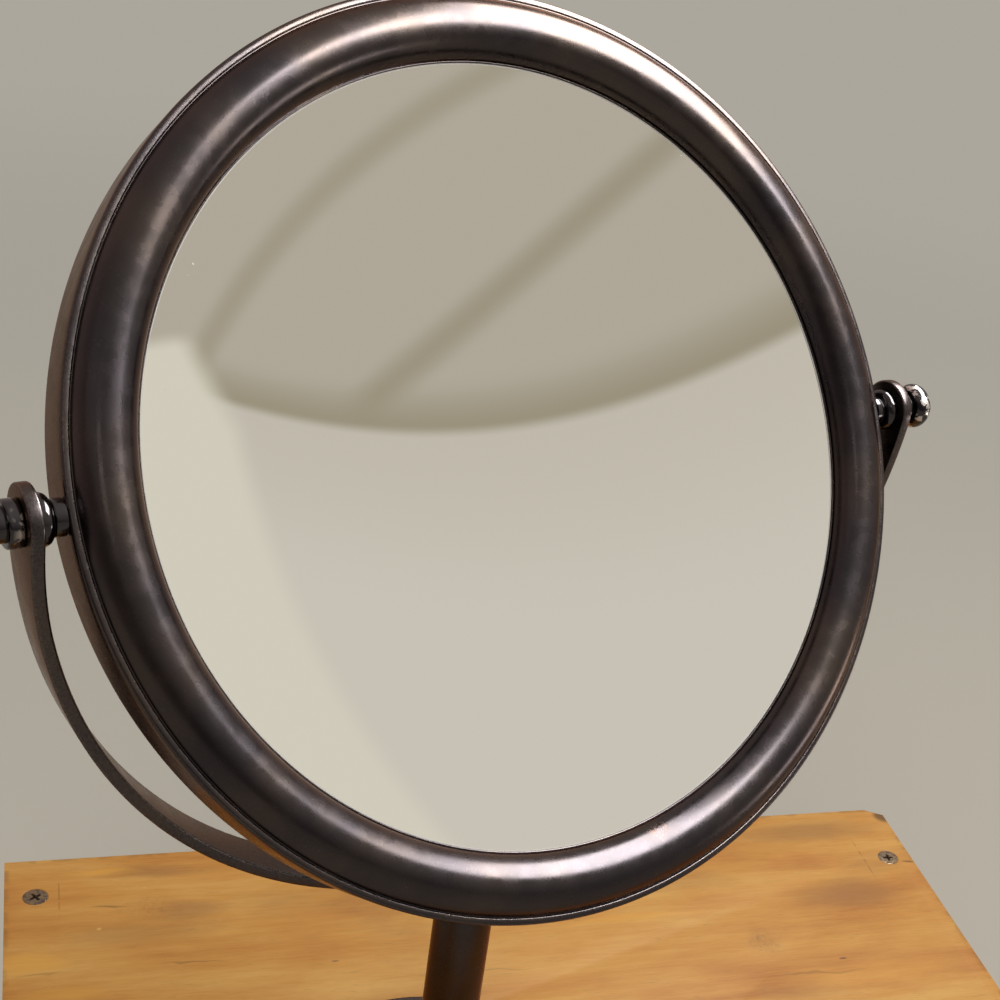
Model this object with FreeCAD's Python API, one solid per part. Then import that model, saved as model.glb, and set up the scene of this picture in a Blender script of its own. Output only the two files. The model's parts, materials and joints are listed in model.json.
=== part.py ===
import FreeCAD, Part
import math
import os

# Swivelling round vanity mirror on a post, standing on a wooden box with one drawer.
# Millimetres, +Z up, drawer front towards -Y, origin in the middle of the felt under the box.
# Every piece is written to parts/NODE.step in its assembled place.

# ---- wooden case ----
CASE_WIDTH = 325.0
CASE_DEPTH = 235.0
BOARD_THICKNESS = 19.0
SIDE_HEIGHT = 89.0
FELT_THICKNESS = 1.5
FELT_INSET = 5.0

# ---- countersunk wood screws of the case ----
WOOD_SCREW_HEAD_RADIUS = 4.1
WOOD_SCREW_HEAD_DEPTH = 2.6
WOOD_SCREW_SHANK_RADIUS = 2.0
WOOD_SCREW_LENGTH = 38.0
WOOD_SCREW_POINT = 5.0
SCREW_SETBACK_LEFT = 18.4
SCREW_SETBACK_RIGHT = 29.6
BACK_SCREW_INSET = 20.0
SCREW_FIT = 0.05

# ---- drawer, its runners and its stops ----
DRAWER_REVEAL = 2.0
DRAWER_SIDE_THICKNESS = 12.0
DRAWER_SIDE_HEIGHT = 70.0
DRAWER_BACK_DROP = 6.0
RABBET_DEPTH = 10.0
PANEL_THICKNESS = 5.0
PANEL_GROOVE_DEPTH = 6.0
PANEL_RAISE = 8.0
PANEL_FIT = 0.1
LINER_THICKNESS = 1.5
RUNNER_WIDTH = 12.0
RUNNER_HEIGHT = 4.0
RUNNER_CLEARANCE = 0.2
RUNNER_SETBACK = 3.0
BUMPER_RADIUS = 5.0
BUMPER_THICKNESS = 2.0
BUMPER_CLEARANCE = 0.3
BUMPER_SPACING = 200.0
BRAD_RADIUS = 0.8
BRAD_HEAD_RADIUS = 1.6
BRAD_HEAD_DEPTH = 0.8
BRAD_LENGTH = 28.0
BRAD_PITCH = 30.0

# ---- drawer pull and its machine screw ----
PULL_FOOT_RADIUS = 8.5
PULL_FOOT_LENGTH = 2.5
PULL_NECK_RADIUS = 5.0
PULL_NECK_LENGTH = 9.0
PULL_HEAD_RADIUS = 14.0
PULL_HEAD_LENGTH = 9.5
PULL_HEAD_EDGE = 2.0
PULL_DOME = 3.0
PULL_SCREW_RADIUS = 2.0
PULL_SCREW_GRIP = 11.0
PULL_SCREW_HEAD_RADIUS = 4.5
PULL_SCREW_HEAD_LENGTH = 2.4

# ---- base flange and post ----
POST_X = -45.0
POST_Y = -17.0
FLANGE_RADIUS = 51.0
FLANGE_THICKNESS = 4.0
FLANGE_ROUND = 1.5
FLANGE_BOSS_RADIUS = 12.5
FLANGE_BOSS_HEIGHT = 7.0
FLANGE_BOSS_ROUND = 1.0
FLANGE_FILLET = 2.0
FLANGE_SCREW_CIRCLE = 38.0
FLANGE_SCREW_COUNT = 3
FLANGE_SCREW_LENGTH = 18.0
FLANGE_SCREW_HEAD_RADIUS = 3.9
FLANGE_SCREW_HEAD_LENGTH = 2.4
POST_RADIUS = 7.9
POST_LENGTH = 86.3
POST_ROUND = 0.8
POST_SCREW_RADIUS = 3.0
POST_SCREW_GRIP = 18.0
POST_SCREW_HEAD_RADIUS = 5.5
POST_SCREW_HEAD_DEPTH = 2.5
SEAT_FIT = 0.05

# ---- swivel at the top of the post ----
SWIVEL_DEG = 17.25
SWIVEL_WASHER_THICKNESS = 1.0
HUB_RADIUS = 10.0
HUB_HEIGHT = 8.0
HUB_ROUND = 1.0
YOKE_SCREW_RADIUS = 3.0
YOKE_SCREW_GRIP = 14.0
YOKE_SCREW_HEAD_RADIUS = 5.0
YOKE_SCREW_HEAD_LENGTH = 2.4
SPIN_FIT = 0.06
SPIN_GAP = 0.15

# ---- yoke strap ----
STRAP_WIDTH = 12.0
STRAP_THICKNESS = 2.8
STRAP_DROP = 2.7
EAR_RADIUS = 7.8
EAR_TAPER = 22.0

# ---- pivots ----
TILT_DEG = 32.1
STUD_RADIUS = 2.0
COLLAR_RADIUS = 3.9
COLLAR_LENGTH = 2.4
WASHER_RADIUS = 5.5
WASHER_THICKNESS = 2.9
WASHER_ROUND = 2.0
WASHER_FIT = 0.1
KNOB_SHOULDER_RADIUS = 5.0
KNOB_SHOULDER_LENGTH = 3.0
KNOB_SHOULDER_ROUND = 0.6
KNOB_NECK_RADIUS = 3.7
KNOB_NECK_LENGTH = 1.8
KNOB_RADIUS = 6.0
KNOB_LENGTH = 6.4
KNOB_EDGE = 1.6
KNOB_DOME = 1.2
KNOB_BORE_CAP = 3.3
BLOCK_HEIGHT = 10.0
BLOCK_ABOVE_AXIS = 3.1
BLOCK_BELOW_AXIS = 6.0
BLOCK_CLEARANCE = 0.7

# ---- mirror frame and glasses, levels counted forwards from the pivot axis ----
FRAME_RADIUS = 106.5
FRAME_BORDER = 15.7
FRAME_WALL = 2.4
SEAM_LEVEL = 1.65
LIP_OVERHANG = 0.6
LIP_LEVEL = 3.9
LIP_WIDTH = 1.9
LIP_ROUND = 0.4
GROOVE_WIDTH = 0.5
GROOVE_LEVEL = 2.8
CREST_LEVEL = 7.8
MOULDING_FOOT = 0.9
BEZEL_WALL = 1.6
SKIRT_DEPTH = 2.5
SKIRT_THICKNESS = 1.0
GLASS_LEVEL = 0.95
GLASS_THICKNESS = 2.0
GLASS_LAP = 2.2
GLASS_LAND = 1.5
GLASS_EDGE_CLEARANCE = 0.2
BOWL_DEPTH = 4.65
GLASS_GAP = 0.9
REAR_GLASS_LAP = 3.0
REAR_FLANGE = 1.5
REAR_ROUND = 1.0

# ---- places worked out from the sizes above ----
HALF_WIDTH = CASE_WIDTH / 2
HALF_DEPTH = CASE_DEPTH / 2
BOTTOM_TOP = FELT_THICKNESS + BOARD_THICKNESS
SIDES_TOP = BOTTOM_TOP + SIDE_HEIGHT
CASE_TOP = SIDES_TOP + BOARD_THICKNESS
INNER_HALF_WIDTH = HALF_WIDTH - BOARD_THICKNESS
FRONT_REAR_FACE = -HALF_DEPTH + BOARD_THICKNESS
BACK_FRONT_FACE = HALF_DEPTH - BOARD_THICKNESS
DRAWER_HALF_WIDTH = INNER_HALF_WIDTH - DRAWER_REVEAL
DRAWER_INNER_HALF = DRAWER_HALF_WIDTH - DRAWER_SIDE_THICKNESS
DRAWER_FRONT_BOTTOM = BOTTOM_TOP + DRAWER_REVEAL
DRAWER_FRONT_TOP = SIDES_TOP - DRAWER_REVEAL
DRAWER_SIDE_BOTTOM = BOTTOM_TOP + RUNNER_HEIGHT + RUNNER_CLEARANCE
DRAWER_SIDE_TOP = DRAWER_SIDE_BOTTOM + DRAWER_SIDE_HEIGHT
DRAWER_REAR_FACE = BACK_FRONT_FACE - BUMPER_THICKNESS - BUMPER_CLEARANCE
DRAWER_BACK_FRONT_FACE = DRAWER_REAR_FACE - DRAWER_SIDE_THICKNESS
RABBET_FACE = FRONT_REAR_FACE - RABBET_DEPTH
PANEL_BOTTOM = DRAWER_SIDE_BOTTOM + PANEL_RAISE
PANEL_TOP = PANEL_BOTTOM + PANEL_THICKNESS
DRAWER_MIDDLE = (DRAWER_FRONT_BOTTOM + DRAWER_FRONT_TOP) / 2

FLANGE_TOP = CASE_TOP + FLANGE_THICKNESS
POST_TOP = FLANGE_TOP + POST_LENGTH
HUB_BOTTOM = POST_TOP + SWIVEL_WASHER_THICKNESS
HUB_TOP = HUB_BOTTOM + HUB_HEIGHT
LIP_RADIUS = FRAME_RADIUS + LIP_OVERHANG
COLLAR_START = LIP_RADIUS + SEAT_FIT
COLLAR_END = COLLAR_START + COLLAR_LENGTH
WASHER_START = COLLAR_END + SPIN_GAP
EAR_INNER = WASHER_START + WASHER_THICKNESS + WASHER_FIT
EAR_OUTER = EAR_INNER + STRAP_THICKNESS
KNOB_START = EAR_OUTER + SPIN_GAP
KNOB_HEAD_START = KNOB_START + KNOB_SHOULDER_LENGTH + KNOB_NECK_LENGTH
STUD_END = KNOB_HEAD_START + KNOB_LENGTH - KNOB_BORE_CAP
PIVOT_HEIGHT = HUB_TOP + EAR_OUTER + STRAP_DROP

GROOVE_OUTER = LIP_RADIUS - LIP_WIDTH
MOULDING_OUTER = GROOVE_OUTER - GROOVE_WIDTH
GLASS_OPENING = FRAME_RADIUS - FRAME_BORDER
MOULDING_CREST = (GLASS_OPENING + MOULDING_OUTER) / 2
WALL_INNER = FRAME_RADIUS - FRAME_WALL
FRONT_GLASS_RADIUS = GLASS_OPENING + GLASS_LAP
REAR_GLASS_RADIUS = GLASS_OPENING + REAR_GLASS_LAP
BOWL_RADIUS = FRONT_GLASS_RADIUS - GLASS_LAND
BACK_BOWL_RADIUS = BOWL_RADIUS - GLASS_LAND
BOWL_LEVEL = GLASS_LEVEL - BOWL_DEPTH
REAR_GLASS_FRONT = BOWL_LEVEL - GLASS_THICKNESS - GLASS_GAP
REAR_GLASS_BACK = REAR_GLASS_FRONT - GLASS_THICKNESS
REAR_FLANGE_FRONT = REAR_GLASS_BACK - SEAT_FIT
REAR_LEVEL = REAR_FLANGE_FRONT - REAR_FLANGE
BLOCK_START = REAR_GLASS_RADIUS + BLOCK_CLEARANCE
BLOCK_END = WALL_INNER - SKIRT_THICKNESS - 2 * BLOCK_CLEARANCE

X_AXIS = FreeCAD.Vector(1, 0, 0)
Y_AXIS = FreeCAD.Vector(0, 1, 0)
Z_AXIS = FreeCAD.Vector(0, 0, 1)
ORIGIN = FreeCAD.Vector(0, 0, 0)


def box(x_range, y_range, z_range):
    """Block between the given low and high values."""
    size = [high - low for low, high in (x_range, y_range, z_range)]
    corner = FreeCAD.Vector(x_range[0], y_range[0], z_range[0])
    return Part.makeBox(size[0], size[1], size[2], corner)


def rod(radius, start, direction, length):
    """Round bar from start along direction."""
    return Part.makeCylinder(radius, length, start, direction)


def flat_point(radius, level):
    """Point of a turned outline, which is drawn at a radius from Z and at a level along Z."""
    return FreeCAD.Vector(radius, 0, level)


def bowed(start, middle, end):
    """Arc of a turned outline through three (radius, level) points."""
    return Part.Arc(flat_point(*start), flat_point(*middle), flat_point(*end)).toShape()


def path(corners):
    """Straight edges through (radius, level) corners; a third value is a corner's rounding."""
    edges = []
    here = flat_point(*corners[0])
    for corner, following in zip(corners[1:], corners[2:]):
        point = flat_point(*corner[:2])
        if len(corner) == 2:
            edges.append(Part.makeLine(here, point))
            here = point
            continue
        back = (here - point).normalize()
        onward = (flat_point(*following[:2]) - point).normalize()
        inward = (back + onward).normalize()
        half_angle = back.getAngle(onward) / 2
        cut_back = corner[2] / math.tan(half_angle)
        middle = point + inward * (corner[2] / math.sin(half_angle) - corner[2])
        edges.append(Part.makeLine(here, point + back * cut_back))
        here = point + onward * cut_back
        edges.append(Part.Arc(point + back * cut_back, middle, here).toShape())
    edges.append(Part.makeLine(here, flat_point(*corners[-1])))
    return edges


def cap(radius, rim_level, crown_level):
    """Arc of a dome or dish, from its rim to its crown on the axis."""
    rise = crown_level - rim_level
    sphere = (radius ** 2 + rise ** 2) / (2 * abs(rise))
    height = math.sqrt(sphere ** 2 - (radius / 2) ** 2) - sphere + abs(rise)
    middle = (radius / 2, rim_level + math.copysign(height, rise))
    return bowed((radius, rim_level), middle, (0, crown_level))


def button_head(radius, edge, start, rim_end, end):
    """Half-round rim and domed end of a knob's head, from its underside."""
    inner = radius - edge
    rim = bowed((inner, start), (radius, (start + rim_end) / 2), (inner, rim_end))
    return [rim, cap(inner, rim_end, end)]


def turned(edges):
    """Solid turned about Z from the edges of its outline."""
    outline = Part.Wire(Part.__sortEdges__(edges))
    return Part.Face(outline).revolve(ORIGIN, Z_AXIS, 360)


def turned_path(corners):
    """Solid turned about Z from a closed outline of corners."""
    return turned(path(corners + [corners[0]]))


def placed(shape, position, direction):
    """Shape built along +Z, moved so that +Z points along direction."""
    turn = FreeCAD.Rotation(Z_AXIS, direction)
    moved = shape.copy()
    moved.Placement = FreeCAD.Placement(position, turn)
    return moved


def stand_place(shape, tilt_deg):
    """Shape drawn with X along the pivots, Y up and Z forwards, put in its place on the post."""
    upright = FreeCAD.Rotation(X_AXIS, 90 - tilt_deg)
    swivel = FreeCAD.Rotation(Z_AXIS, SWIVEL_DEG)
    pivot = FreeCAD.Vector(POST_X, POST_Y, PIVOT_HEIGHT)
    moved = shape.copy()
    moved.Placement = FreeCAD.Placement(pivot, swivel.multiply(upright)).multiply(shape.Placement)
    return moved


def on_yoke(shape):
    return stand_place(shape, 0)


def on_mirror(shape):
    return stand_place(shape, TILT_DEG)


def other_side(shape):
    """The same pivot piece at the -X end."""
    return shape.mirror(ORIGIN, X_AXIS)


# ---- fasteners, each drawn along +Z from the face that its head meets ----

def flat_screw(head_radius, head_depth, radius, length, point=0.0):
    """Countersunk screw with its head flush with the face at the origin."""
    return turned_path([(0, 0), (head_radius, 0), (radius, head_depth),
                        (radius, length - point), (0, length)])


def wood_screw(fit=0.0):
    """Wood screw of the case, or with a fit the hole that it leaves."""
    return flat_screw(WOOD_SCREW_HEAD_RADIUS + fit, WOOD_SCREW_HEAD_DEPTH,
                      WOOD_SCREW_SHANK_RADIUS + fit, WOOD_SCREW_LENGTH + fit, WOOD_SCREW_POINT)


def pan_screw(head_radius, head_length, radius, length, fit=0.0):
    """Screw whose domed head stands on the face at the origin."""
    edges = path([(0, -head_length), (0, length + fit), (radius + fit, length + fit),
                  (radius + fit, 0), (head_radius, 0)])
    return turned(edges + [cap(head_radius, 0, -head_length)])


def brad(fit=0.0):
    """Small nail with a sunk head."""
    head = BRAD_HEAD_RADIUS + fit
    shank = BRAD_RADIUS + fit
    end = BRAD_LENGTH + fit
    return turned_path([(0, 0), (head, 0), (head, BRAD_HEAD_DEPTH), (shank, BRAD_HEAD_DEPTH),
                        (shank, end), (0, end)])


def driven(fastener, places):
    """Copies of a fastener at (position, direction) pairs."""
    return [placed(fastener, position, direction) for position, direction in places]


def side_setbacks():
    """X of each side board's middle with the setback of its screws."""
    middle = HALF_WIDTH - BOARD_THICKNESS / 2
    return [(-middle, SCREW_SETBACK_LEFT), (middle, SCREW_SETBACK_RIGHT)]


def end_screw_places(level, direction):
    """Screws through the top or bottom board into the side boards."""
    places = []
    for x, setback in side_setbacks():
        for y in (-HALF_DEPTH + setback, HALF_DEPTH - setback):
            places.append((FreeCAD.Vector(x, y, level), direction))
    return places


def back_screw_places():
    """Screws through the side boards into the ends of the back panel."""
    y = HALF_DEPTH - BOARD_THICKNESS / 2
    places = []
    for side in (-1, 1):
        for z in (BOTTOM_TOP + BACK_SCREW_INSET, SIDES_TOP - BACK_SCREW_INSET):
            places.append((FreeCAD.Vector(side * HALF_WIDTH, y, z), X_AXIS * -side))
    return places


def flange_screw_places(level):
    places = []
    for number in range(FLANGE_SCREW_COUNT):
        angle = math.radians(90 + 360 * number / FLANGE_SCREW_COUNT)
        x = POST_X + FLANGE_SCREW_CIRCLE * math.cos(angle)
        y = POST_Y + FLANGE_SCREW_CIRCLE * math.sin(angle)
        places.append((FreeCAD.Vector(x, y, level), -Z_AXIS))
    return places


def brad_places():
    """Brads through the drawer sides into the ends of the drawer front and back."""
    middle = (PANEL_TOP + DRAWER_SIDE_TOP - DRAWER_BACK_DROP) / 2
    places = []
    for side in (-1, 1):
        for y in (RABBET_FACE + RABBET_DEPTH / 2, DRAWER_REAR_FACE - DRAWER_SIDE_THICKNESS / 2):
            for z in (middle - BRAD_PITCH / 2, middle + BRAD_PITCH / 2):
                places.append((FreeCAD.Vector(side * DRAWER_HALF_WIDTH, y, z), X_AXIS * -side))
    return places


TOP_SCREWS = end_screw_places(CASE_TOP, -Z_AXIS)
BOTTOM_SCREWS = end_screw_places(FELT_THICKNESS, Z_AXIS)
BACK_SCREWS = back_screw_places()
BRADS = brad_places()


def flange_screw(fit=0.0):
    return pan_screw(FLANGE_SCREW_HEAD_RADIUS, FLANGE_SCREW_HEAD_LENGTH,
                     WOOD_SCREW_SHANK_RADIUS, FLANGE_SCREW_LENGTH, fit)


# ---- wooden case ----

def case_pieces():
    screw_holes = driven(wood_screw(SCREW_FIT), TOP_SCREWS + BOTTOM_SCREWS + BACK_SCREWS)
    flange_holes = driven(flange_screw(SCREW_FIT), flange_screw_places(FLANGE_TOP))
    width = (-HALF_WIDTH, HALF_WIDTH)
    depth = (-HALF_DEPTH, HALF_DEPTH)
    inner = (-INNER_HALF_WIDTH, INNER_HALF_WIDTH)
    height = (BOTTOM_TOP, SIDES_TOP)
    felt_x = (-HALF_WIDTH + FELT_INSET, HALF_WIDTH - FELT_INSET)
    felt_y = (-HALF_DEPTH + FELT_INSET, HALF_DEPTH - FELT_INSET)
    return {
        "top_board": box(width, depth, (SIDES_TOP, CASE_TOP)).cut(screw_holes + flange_holes),
        "bottom_board": box(width, depth, (FELT_THICKNESS, BOTTOM_TOP)).cut(screw_holes),
        "side_board_left": box((-HALF_WIDTH, -INNER_HALF_WIDTH), depth, height).cut(screw_holes),
        "side_board_right": box((INNER_HALF_WIDTH, HALF_WIDTH), depth, height).cut(screw_holes),
        "back_board": box(inner, (BACK_FRONT_FACE, HALF_DEPTH), height).cut(screw_holes),
        "base_felt": box(felt_x, felt_y, (0, FELT_THICKNESS)),
        "top_board_screws": Part.makeCompound(driven(wood_screw(), TOP_SCREWS)),
        "bottom_board_screws": Part.makeCompound(driven(wood_screw(), BOTTOM_SCREWS)),
        "back_board_screws": Part.makeCompound(driven(wood_screw(), BACK_SCREWS)),
    }


def runner_pieces():
    """Strips that carry the drawer, and the two pads that stop it."""
    depth = (FRONT_REAR_FACE + RUNNER_SETBACK, BACK_FRONT_FACE)
    height = (BOTTOM_TOP, BOTTOM_TOP + RUNNER_HEIGHT)
    inner = INNER_HALF_WIDTH - RUNNER_WIDTH
    bumpers = []
    for side in (-1, 1):
        start = FreeCAD.Vector(side * BUMPER_SPACING / 2, BACK_FRONT_FACE, DRAWER_MIDDLE)
        bumpers.append(rod(BUMPER_RADIUS, start, -Y_AXIS, BUMPER_THICKNESS))
    return {
        "drawer_runner_left": box((-INNER_HALF_WIDTH, -inner), depth, height),
        "drawer_runner_right": box((inner, INNER_HALF_WIDTH), depth, height),
        "drawer_bumpers": Part.makeCompound(bumpers),
    }


# ---- drawer ----

def drawer_side(side, grooves):
    """Side board of the drawer, lapped into the rabbet of the drawer front."""
    faces = sorted((side * DRAWER_INNER_HALF, side * DRAWER_HALF_WIDTH))
    depth = (RABBET_FACE, DRAWER_REAR_FACE)
    return box(faces, depth, (DRAWER_SIDE_BOTTOM, DRAWER_SIDE_TOP)).cut(grooves)


def drawer_front(holes):
    """Front board with a rabbet at each end for the drawer sides."""
    width = (-DRAWER_HALF_WIDTH, DRAWER_HALF_WIDTH)
    height = (DRAWER_FRONT_BOTTOM, DRAWER_FRONT_TOP)
    board = box(width, (-HALF_DEPTH, FRONT_REAR_FACE), height)
    rabbets = []
    for side in (-1, 1):
        faces = sorted((side * DRAWER_INNER_HALF, side * DRAWER_HALF_WIDTH))
        rabbets.append(box(faces, (RABBET_FACE, FRONT_REAR_FACE), height))
    return board.cut(rabbets + holes)


def drawer_panel(fit=0.0):
    """Thin bottom panel, or with a fit the groove that holds it."""
    reach = DRAWER_INNER_HALF + PANEL_GROOVE_DEPTH - PANEL_FIT + fit
    front = FRONT_REAR_FACE - PANEL_GROOVE_DEPTH + PANEL_FIT - fit
    return box((-reach, reach), (front, DRAWER_REAR_FACE), (PANEL_BOTTOM - fit, PANEL_TOP + fit))


def drawer_pull():
    """Round pull with a flat foot, a waisted neck and a domed head."""
    neck_end = PULL_FOOT_LENGTH + PULL_NECK_LENGTH
    end = neck_end + PULL_HEAD_LENGTH
    bore = PULL_SCREW_RADIUS + SCREW_FIT
    bore_end = PULL_SCREW_GRIP + SCREW_FIT
    waist = (PULL_NECK_RADIUS, (PULL_FOOT_LENGTH + neck_end) / 2)
    edges = path([(0, end), (0, bore_end), (bore, bore_end), (bore, 0), (PULL_FOOT_RADIUS, 0),
                  (PULL_FOOT_RADIUS, PULL_FOOT_LENGTH)])
    edges.append(bowed((PULL_FOOT_RADIUS, PULL_FOOT_LENGTH), waist, (PULL_FOOT_RADIUS, neck_end)))
    edges += path([(PULL_FOOT_RADIUS, neck_end), (PULL_HEAD_RADIUS - PULL_HEAD_EDGE, neck_end)])
    edges += button_head(PULL_HEAD_RADIUS, PULL_HEAD_EDGE, neck_end, end - PULL_DOME, end)
    return placed(turned(edges), FreeCAD.Vector(0, -HALF_DEPTH, DRAWER_MIDDLE), -Y_AXIS)


def pull_screw(fit=0.0):
    """Machine screw from inside the drawer front into the pull."""
    length = BOARD_THICKNESS + PULL_SCREW_GRIP - fit
    screw = pan_screw(PULL_SCREW_HEAD_RADIUS, PULL_SCREW_HEAD_LENGTH,
                      PULL_SCREW_RADIUS, length, fit)
    return placed(screw, FreeCAD.Vector(0, FRONT_REAR_FACE, DRAWER_MIDDLE), -Y_AXIS)


def drawer_pieces():
    groove = drawer_panel(PANEL_FIT)
    holes = driven(brad(SCREW_FIT), BRADS)
    back_height = (PANEL_TOP + PANEL_FIT, DRAWER_SIDE_TOP - DRAWER_BACK_DROP)
    back = box((-DRAWER_INNER_HALF, DRAWER_INNER_HALF),
               (DRAWER_BACK_FRONT_FACE, DRAWER_REAR_FACE), back_height)
    liner_x = (-DRAWER_INNER_HALF + PANEL_FIT, DRAWER_INNER_HALF - PANEL_FIT)
    liner_y = (FRONT_REAR_FACE + PANEL_FIT, DRAWER_BACK_FRONT_FACE - PANEL_FIT)
    liner_z = (PANEL_TOP, PANEL_TOP + LINER_THICKNESS)
    return {
        "drawer_front": drawer_front(holes + [groove, pull_screw(SCREW_FIT)]),
        "drawer_side_left": drawer_side(-1, holes + [groove]),
        "drawer_side_right": drawer_side(1, holes + [groove]),
        "drawer_back": back.cut(holes),
        "drawer_bottom": drawer_panel(),
        "drawer_liner": box(liner_x, liner_y, liner_z),
        "drawer_brads": Part.makeCompound(driven(brad(), BRADS)),
        "drawer_pull": drawer_pull(),
        "drawer_pull_screw": pull_screw(),
    }


# ---- flange, post and swivel ----

def post_screw(fit=0.0):
    """Countersunk screw up through the flange into the post."""
    screw = flat_screw(POST_SCREW_HEAD_RADIUS + fit, POST_SCREW_HEAD_DEPTH,
                       POST_SCREW_RADIUS + fit, FLANGE_THICKNESS + POST_SCREW_GRIP + fit)
    return placed(screw, FreeCAD.Vector(POST_X, POST_Y, CASE_TOP), Z_AXIS)


def yoke_screw(fit=0.0):
    """Pan head screw down through the strap, hub and washer into the post."""
    head_face = HUB_TOP + STRAP_THICKNESS + SPIN_GAP
    length = head_face - POST_TOP + YOKE_SCREW_GRIP
    screw = pan_screw(YOKE_SCREW_HEAD_RADIUS, YOKE_SCREW_HEAD_LENGTH, YOKE_SCREW_RADIUS, length, fit)
    return placed(screw, FreeCAD.Vector(POST_X, POST_Y, head_face), -Z_AXIS)


def flange():
    """Round base plate with a boss that the post stands in."""
    boss_top = FLANGE_THICKNESS + FLANGE_BOSS_HEIGHT
    socket = POST_RADIUS + SEAT_FIT
    plate = turned_path([(0, 0), (FLANGE_RADIUS, 0), (FLANGE_RADIUS, FLANGE_THICKNESS, FLANGE_ROUND),
                         (FLANGE_BOSS_RADIUS, FLANGE_THICKNESS, FLANGE_FILLET),
                         (FLANGE_BOSS_RADIUS, boss_top, FLANGE_BOSS_ROUND), (socket, boss_top),
                         (socket, FLANGE_THICKNESS), (0, FLANGE_THICKNESS)])
    plate = placed(plate, FreeCAD.Vector(POST_X, POST_Y, CASE_TOP), Z_AXIS)
    holes = driven(flange_screw(SCREW_FIT), flange_screw_places(FLANGE_TOP))
    return plate.cut(holes + [post_screw(SCREW_FIT)])


def post():
    bar = turned_path([(0, 0), (POST_RADIUS, 0, POST_ROUND), (POST_RADIUS, POST_LENGTH, POST_ROUND),
                       (0, POST_LENGTH)])
    bar = placed(bar, FreeCAD.Vector(POST_X, POST_Y, FLANGE_TOP), Z_AXIS)
    return bar.cut([post_screw(SCREW_FIT), yoke_screw(SCREW_FIT)])


def strap_cylinder(radius):
    """Cylinder about the centre of the strap's bend, across the strap."""
    bend = FreeCAD.Vector(0, -STRAP_DROP, -STRAP_WIDTH)
    return on_yoke(rod(radius, bend, Z_AXIS, 2 * STRAP_WIDTH))


def swivel_washer():
    bore = YOKE_SCREW_RADIUS + SPIN_FIT
    washer = turned_path([(bore, 0), (POST_RADIUS, 0), (POST_RADIUS, SWIVEL_WASHER_THICKNESS),
                          (bore, SWIVEL_WASHER_THICKNESS)])
    return placed(washer, FreeCAD.Vector(POST_X, POST_Y, POST_TOP), Z_AXIS)


def yoke_hub():
    """Turned hub whose top is hollowed to the curve of the strap."""
    bore = YOKE_SCREW_RADIUS + SPIN_FIT
    top = HUB_HEIGHT + STRAP_THICKNESS / 2
    hub = turned_path([(bore, SPIN_GAP), (HUB_RADIUS, SPIN_GAP, HUB_ROUND), (HUB_RADIUS, top),
                       (bore, top)])
    hub = placed(hub, FreeCAD.Vector(POST_X, POST_Y, HUB_BOTTOM), Z_AXIS)
    return hub.cut(strap_cylinder(EAR_OUTER + SEAT_FIT))


# ---- yoke strap ----

def strap_loop(half_width):
    """U of the strap, drawn flat and given its full width: straight ends and a half-round bend."""
    ear_top = EAR_RADIUS
    bend = FreeCAD.Vector(0, -STRAP_DROP, 0)
    edges = []
    for radius in (EAR_INNER, EAR_OUTER):
        left = FreeCAD.Vector(-radius, -STRAP_DROP, 0)
        right = FreeCAD.Vector(radius, -STRAP_DROP, 0)
        low = bend + FreeCAD.Vector(0, -radius, 0)
        edges.append(Part.Arc(left, low, right).toShape())
        edges.append(Part.makeLine(left, FreeCAD.Vector(-radius, ear_top, 0)))
        edges.append(Part.makeLine(right, FreeCAD.Vector(radius, ear_top, 0)))
    for side in (-1, 1):
        inner = FreeCAD.Vector(side * EAR_INNER, ear_top, 0)
        outer = FreeCAD.Vector(side * EAR_OUTER, ear_top, 0)
        edges.append(Part.makeLine(inner, outer))
    face = Part.Face(Part.Wire(Part.__sortEdges__(edges)))
    face.translate(FreeCAD.Vector(0, 0, -half_width))
    return face.extrude(FreeCAD.Vector(0, 0, 2 * half_width))


def strap_side_view(reach):
    """Outline of the strap seen along the pivots: round ears that taper to the strap's width."""
    half = STRAP_WIDTH / 2
    bottom = -(STRAP_DROP + EAR_OUTER + half)
    start = FreeCAD.Vector(-reach, 0, 0)
    ear = rod(EAR_RADIUS, start, X_AXIS, 2 * reach)
    slope = math.asin((EAR_RADIUS - half) / EAR_TAPER)
    tangent_y = -EAR_RADIUS * math.sin(slope)
    tangent_z = EAR_RADIUS * math.cos(slope)
    corners = [(tangent_y, tangent_z), (-EAR_TAPER, half), (bottom, half),
               (bottom, -half), (-EAR_TAPER, -half), (tangent_y, -tangent_z)]
    points = [FreeCAD.Vector(-reach, y, z) for y, z in corners]
    leg = Part.Face(Part.makePolygon(points + points[:1])).extrude(X_AXIS * 2 * reach)
    return ear.fuse(leg)


def yoke_strap():
    wide = 2 * max(EAR_RADIUS, STRAP_WIDTH)
    strap = strap_loop(wide).common(strap_side_view(EAR_OUTER + wide))
    pin = rod(STUD_RADIUS + SPIN_FIT, FreeCAD.Vector(-2 * EAR_OUTER, 0, 0), X_AXIS, 4 * EAR_OUTER)
    low = FreeCAD.Vector(0, -STRAP_DROP, 0)
    screw_hole = rod(YOKE_SCREW_RADIUS + SPIN_FIT, low, -Y_AXIS, 2 * EAR_OUTER)
    return on_yoke(strap.cut([pin, screw_hole]).removeSplitter())


def stand_pieces():
    flange_screws = driven(flange_screw(), flange_screw_places(FLANGE_TOP))
    return {
        "post_flange": flange(),
        "flange_screws": Part.makeCompound(flange_screws),
        "post": post(),
        "post_screw": post_screw(),
        "swivel_washer": swivel_washer(),
        "yoke_hub": yoke_hub(),
        "yoke_screw": yoke_screw(),
        "yoke_strap": yoke_strap(),
    }


# ---- pivots: drawn at the +X end, and mirrored for the -X end ----

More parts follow.
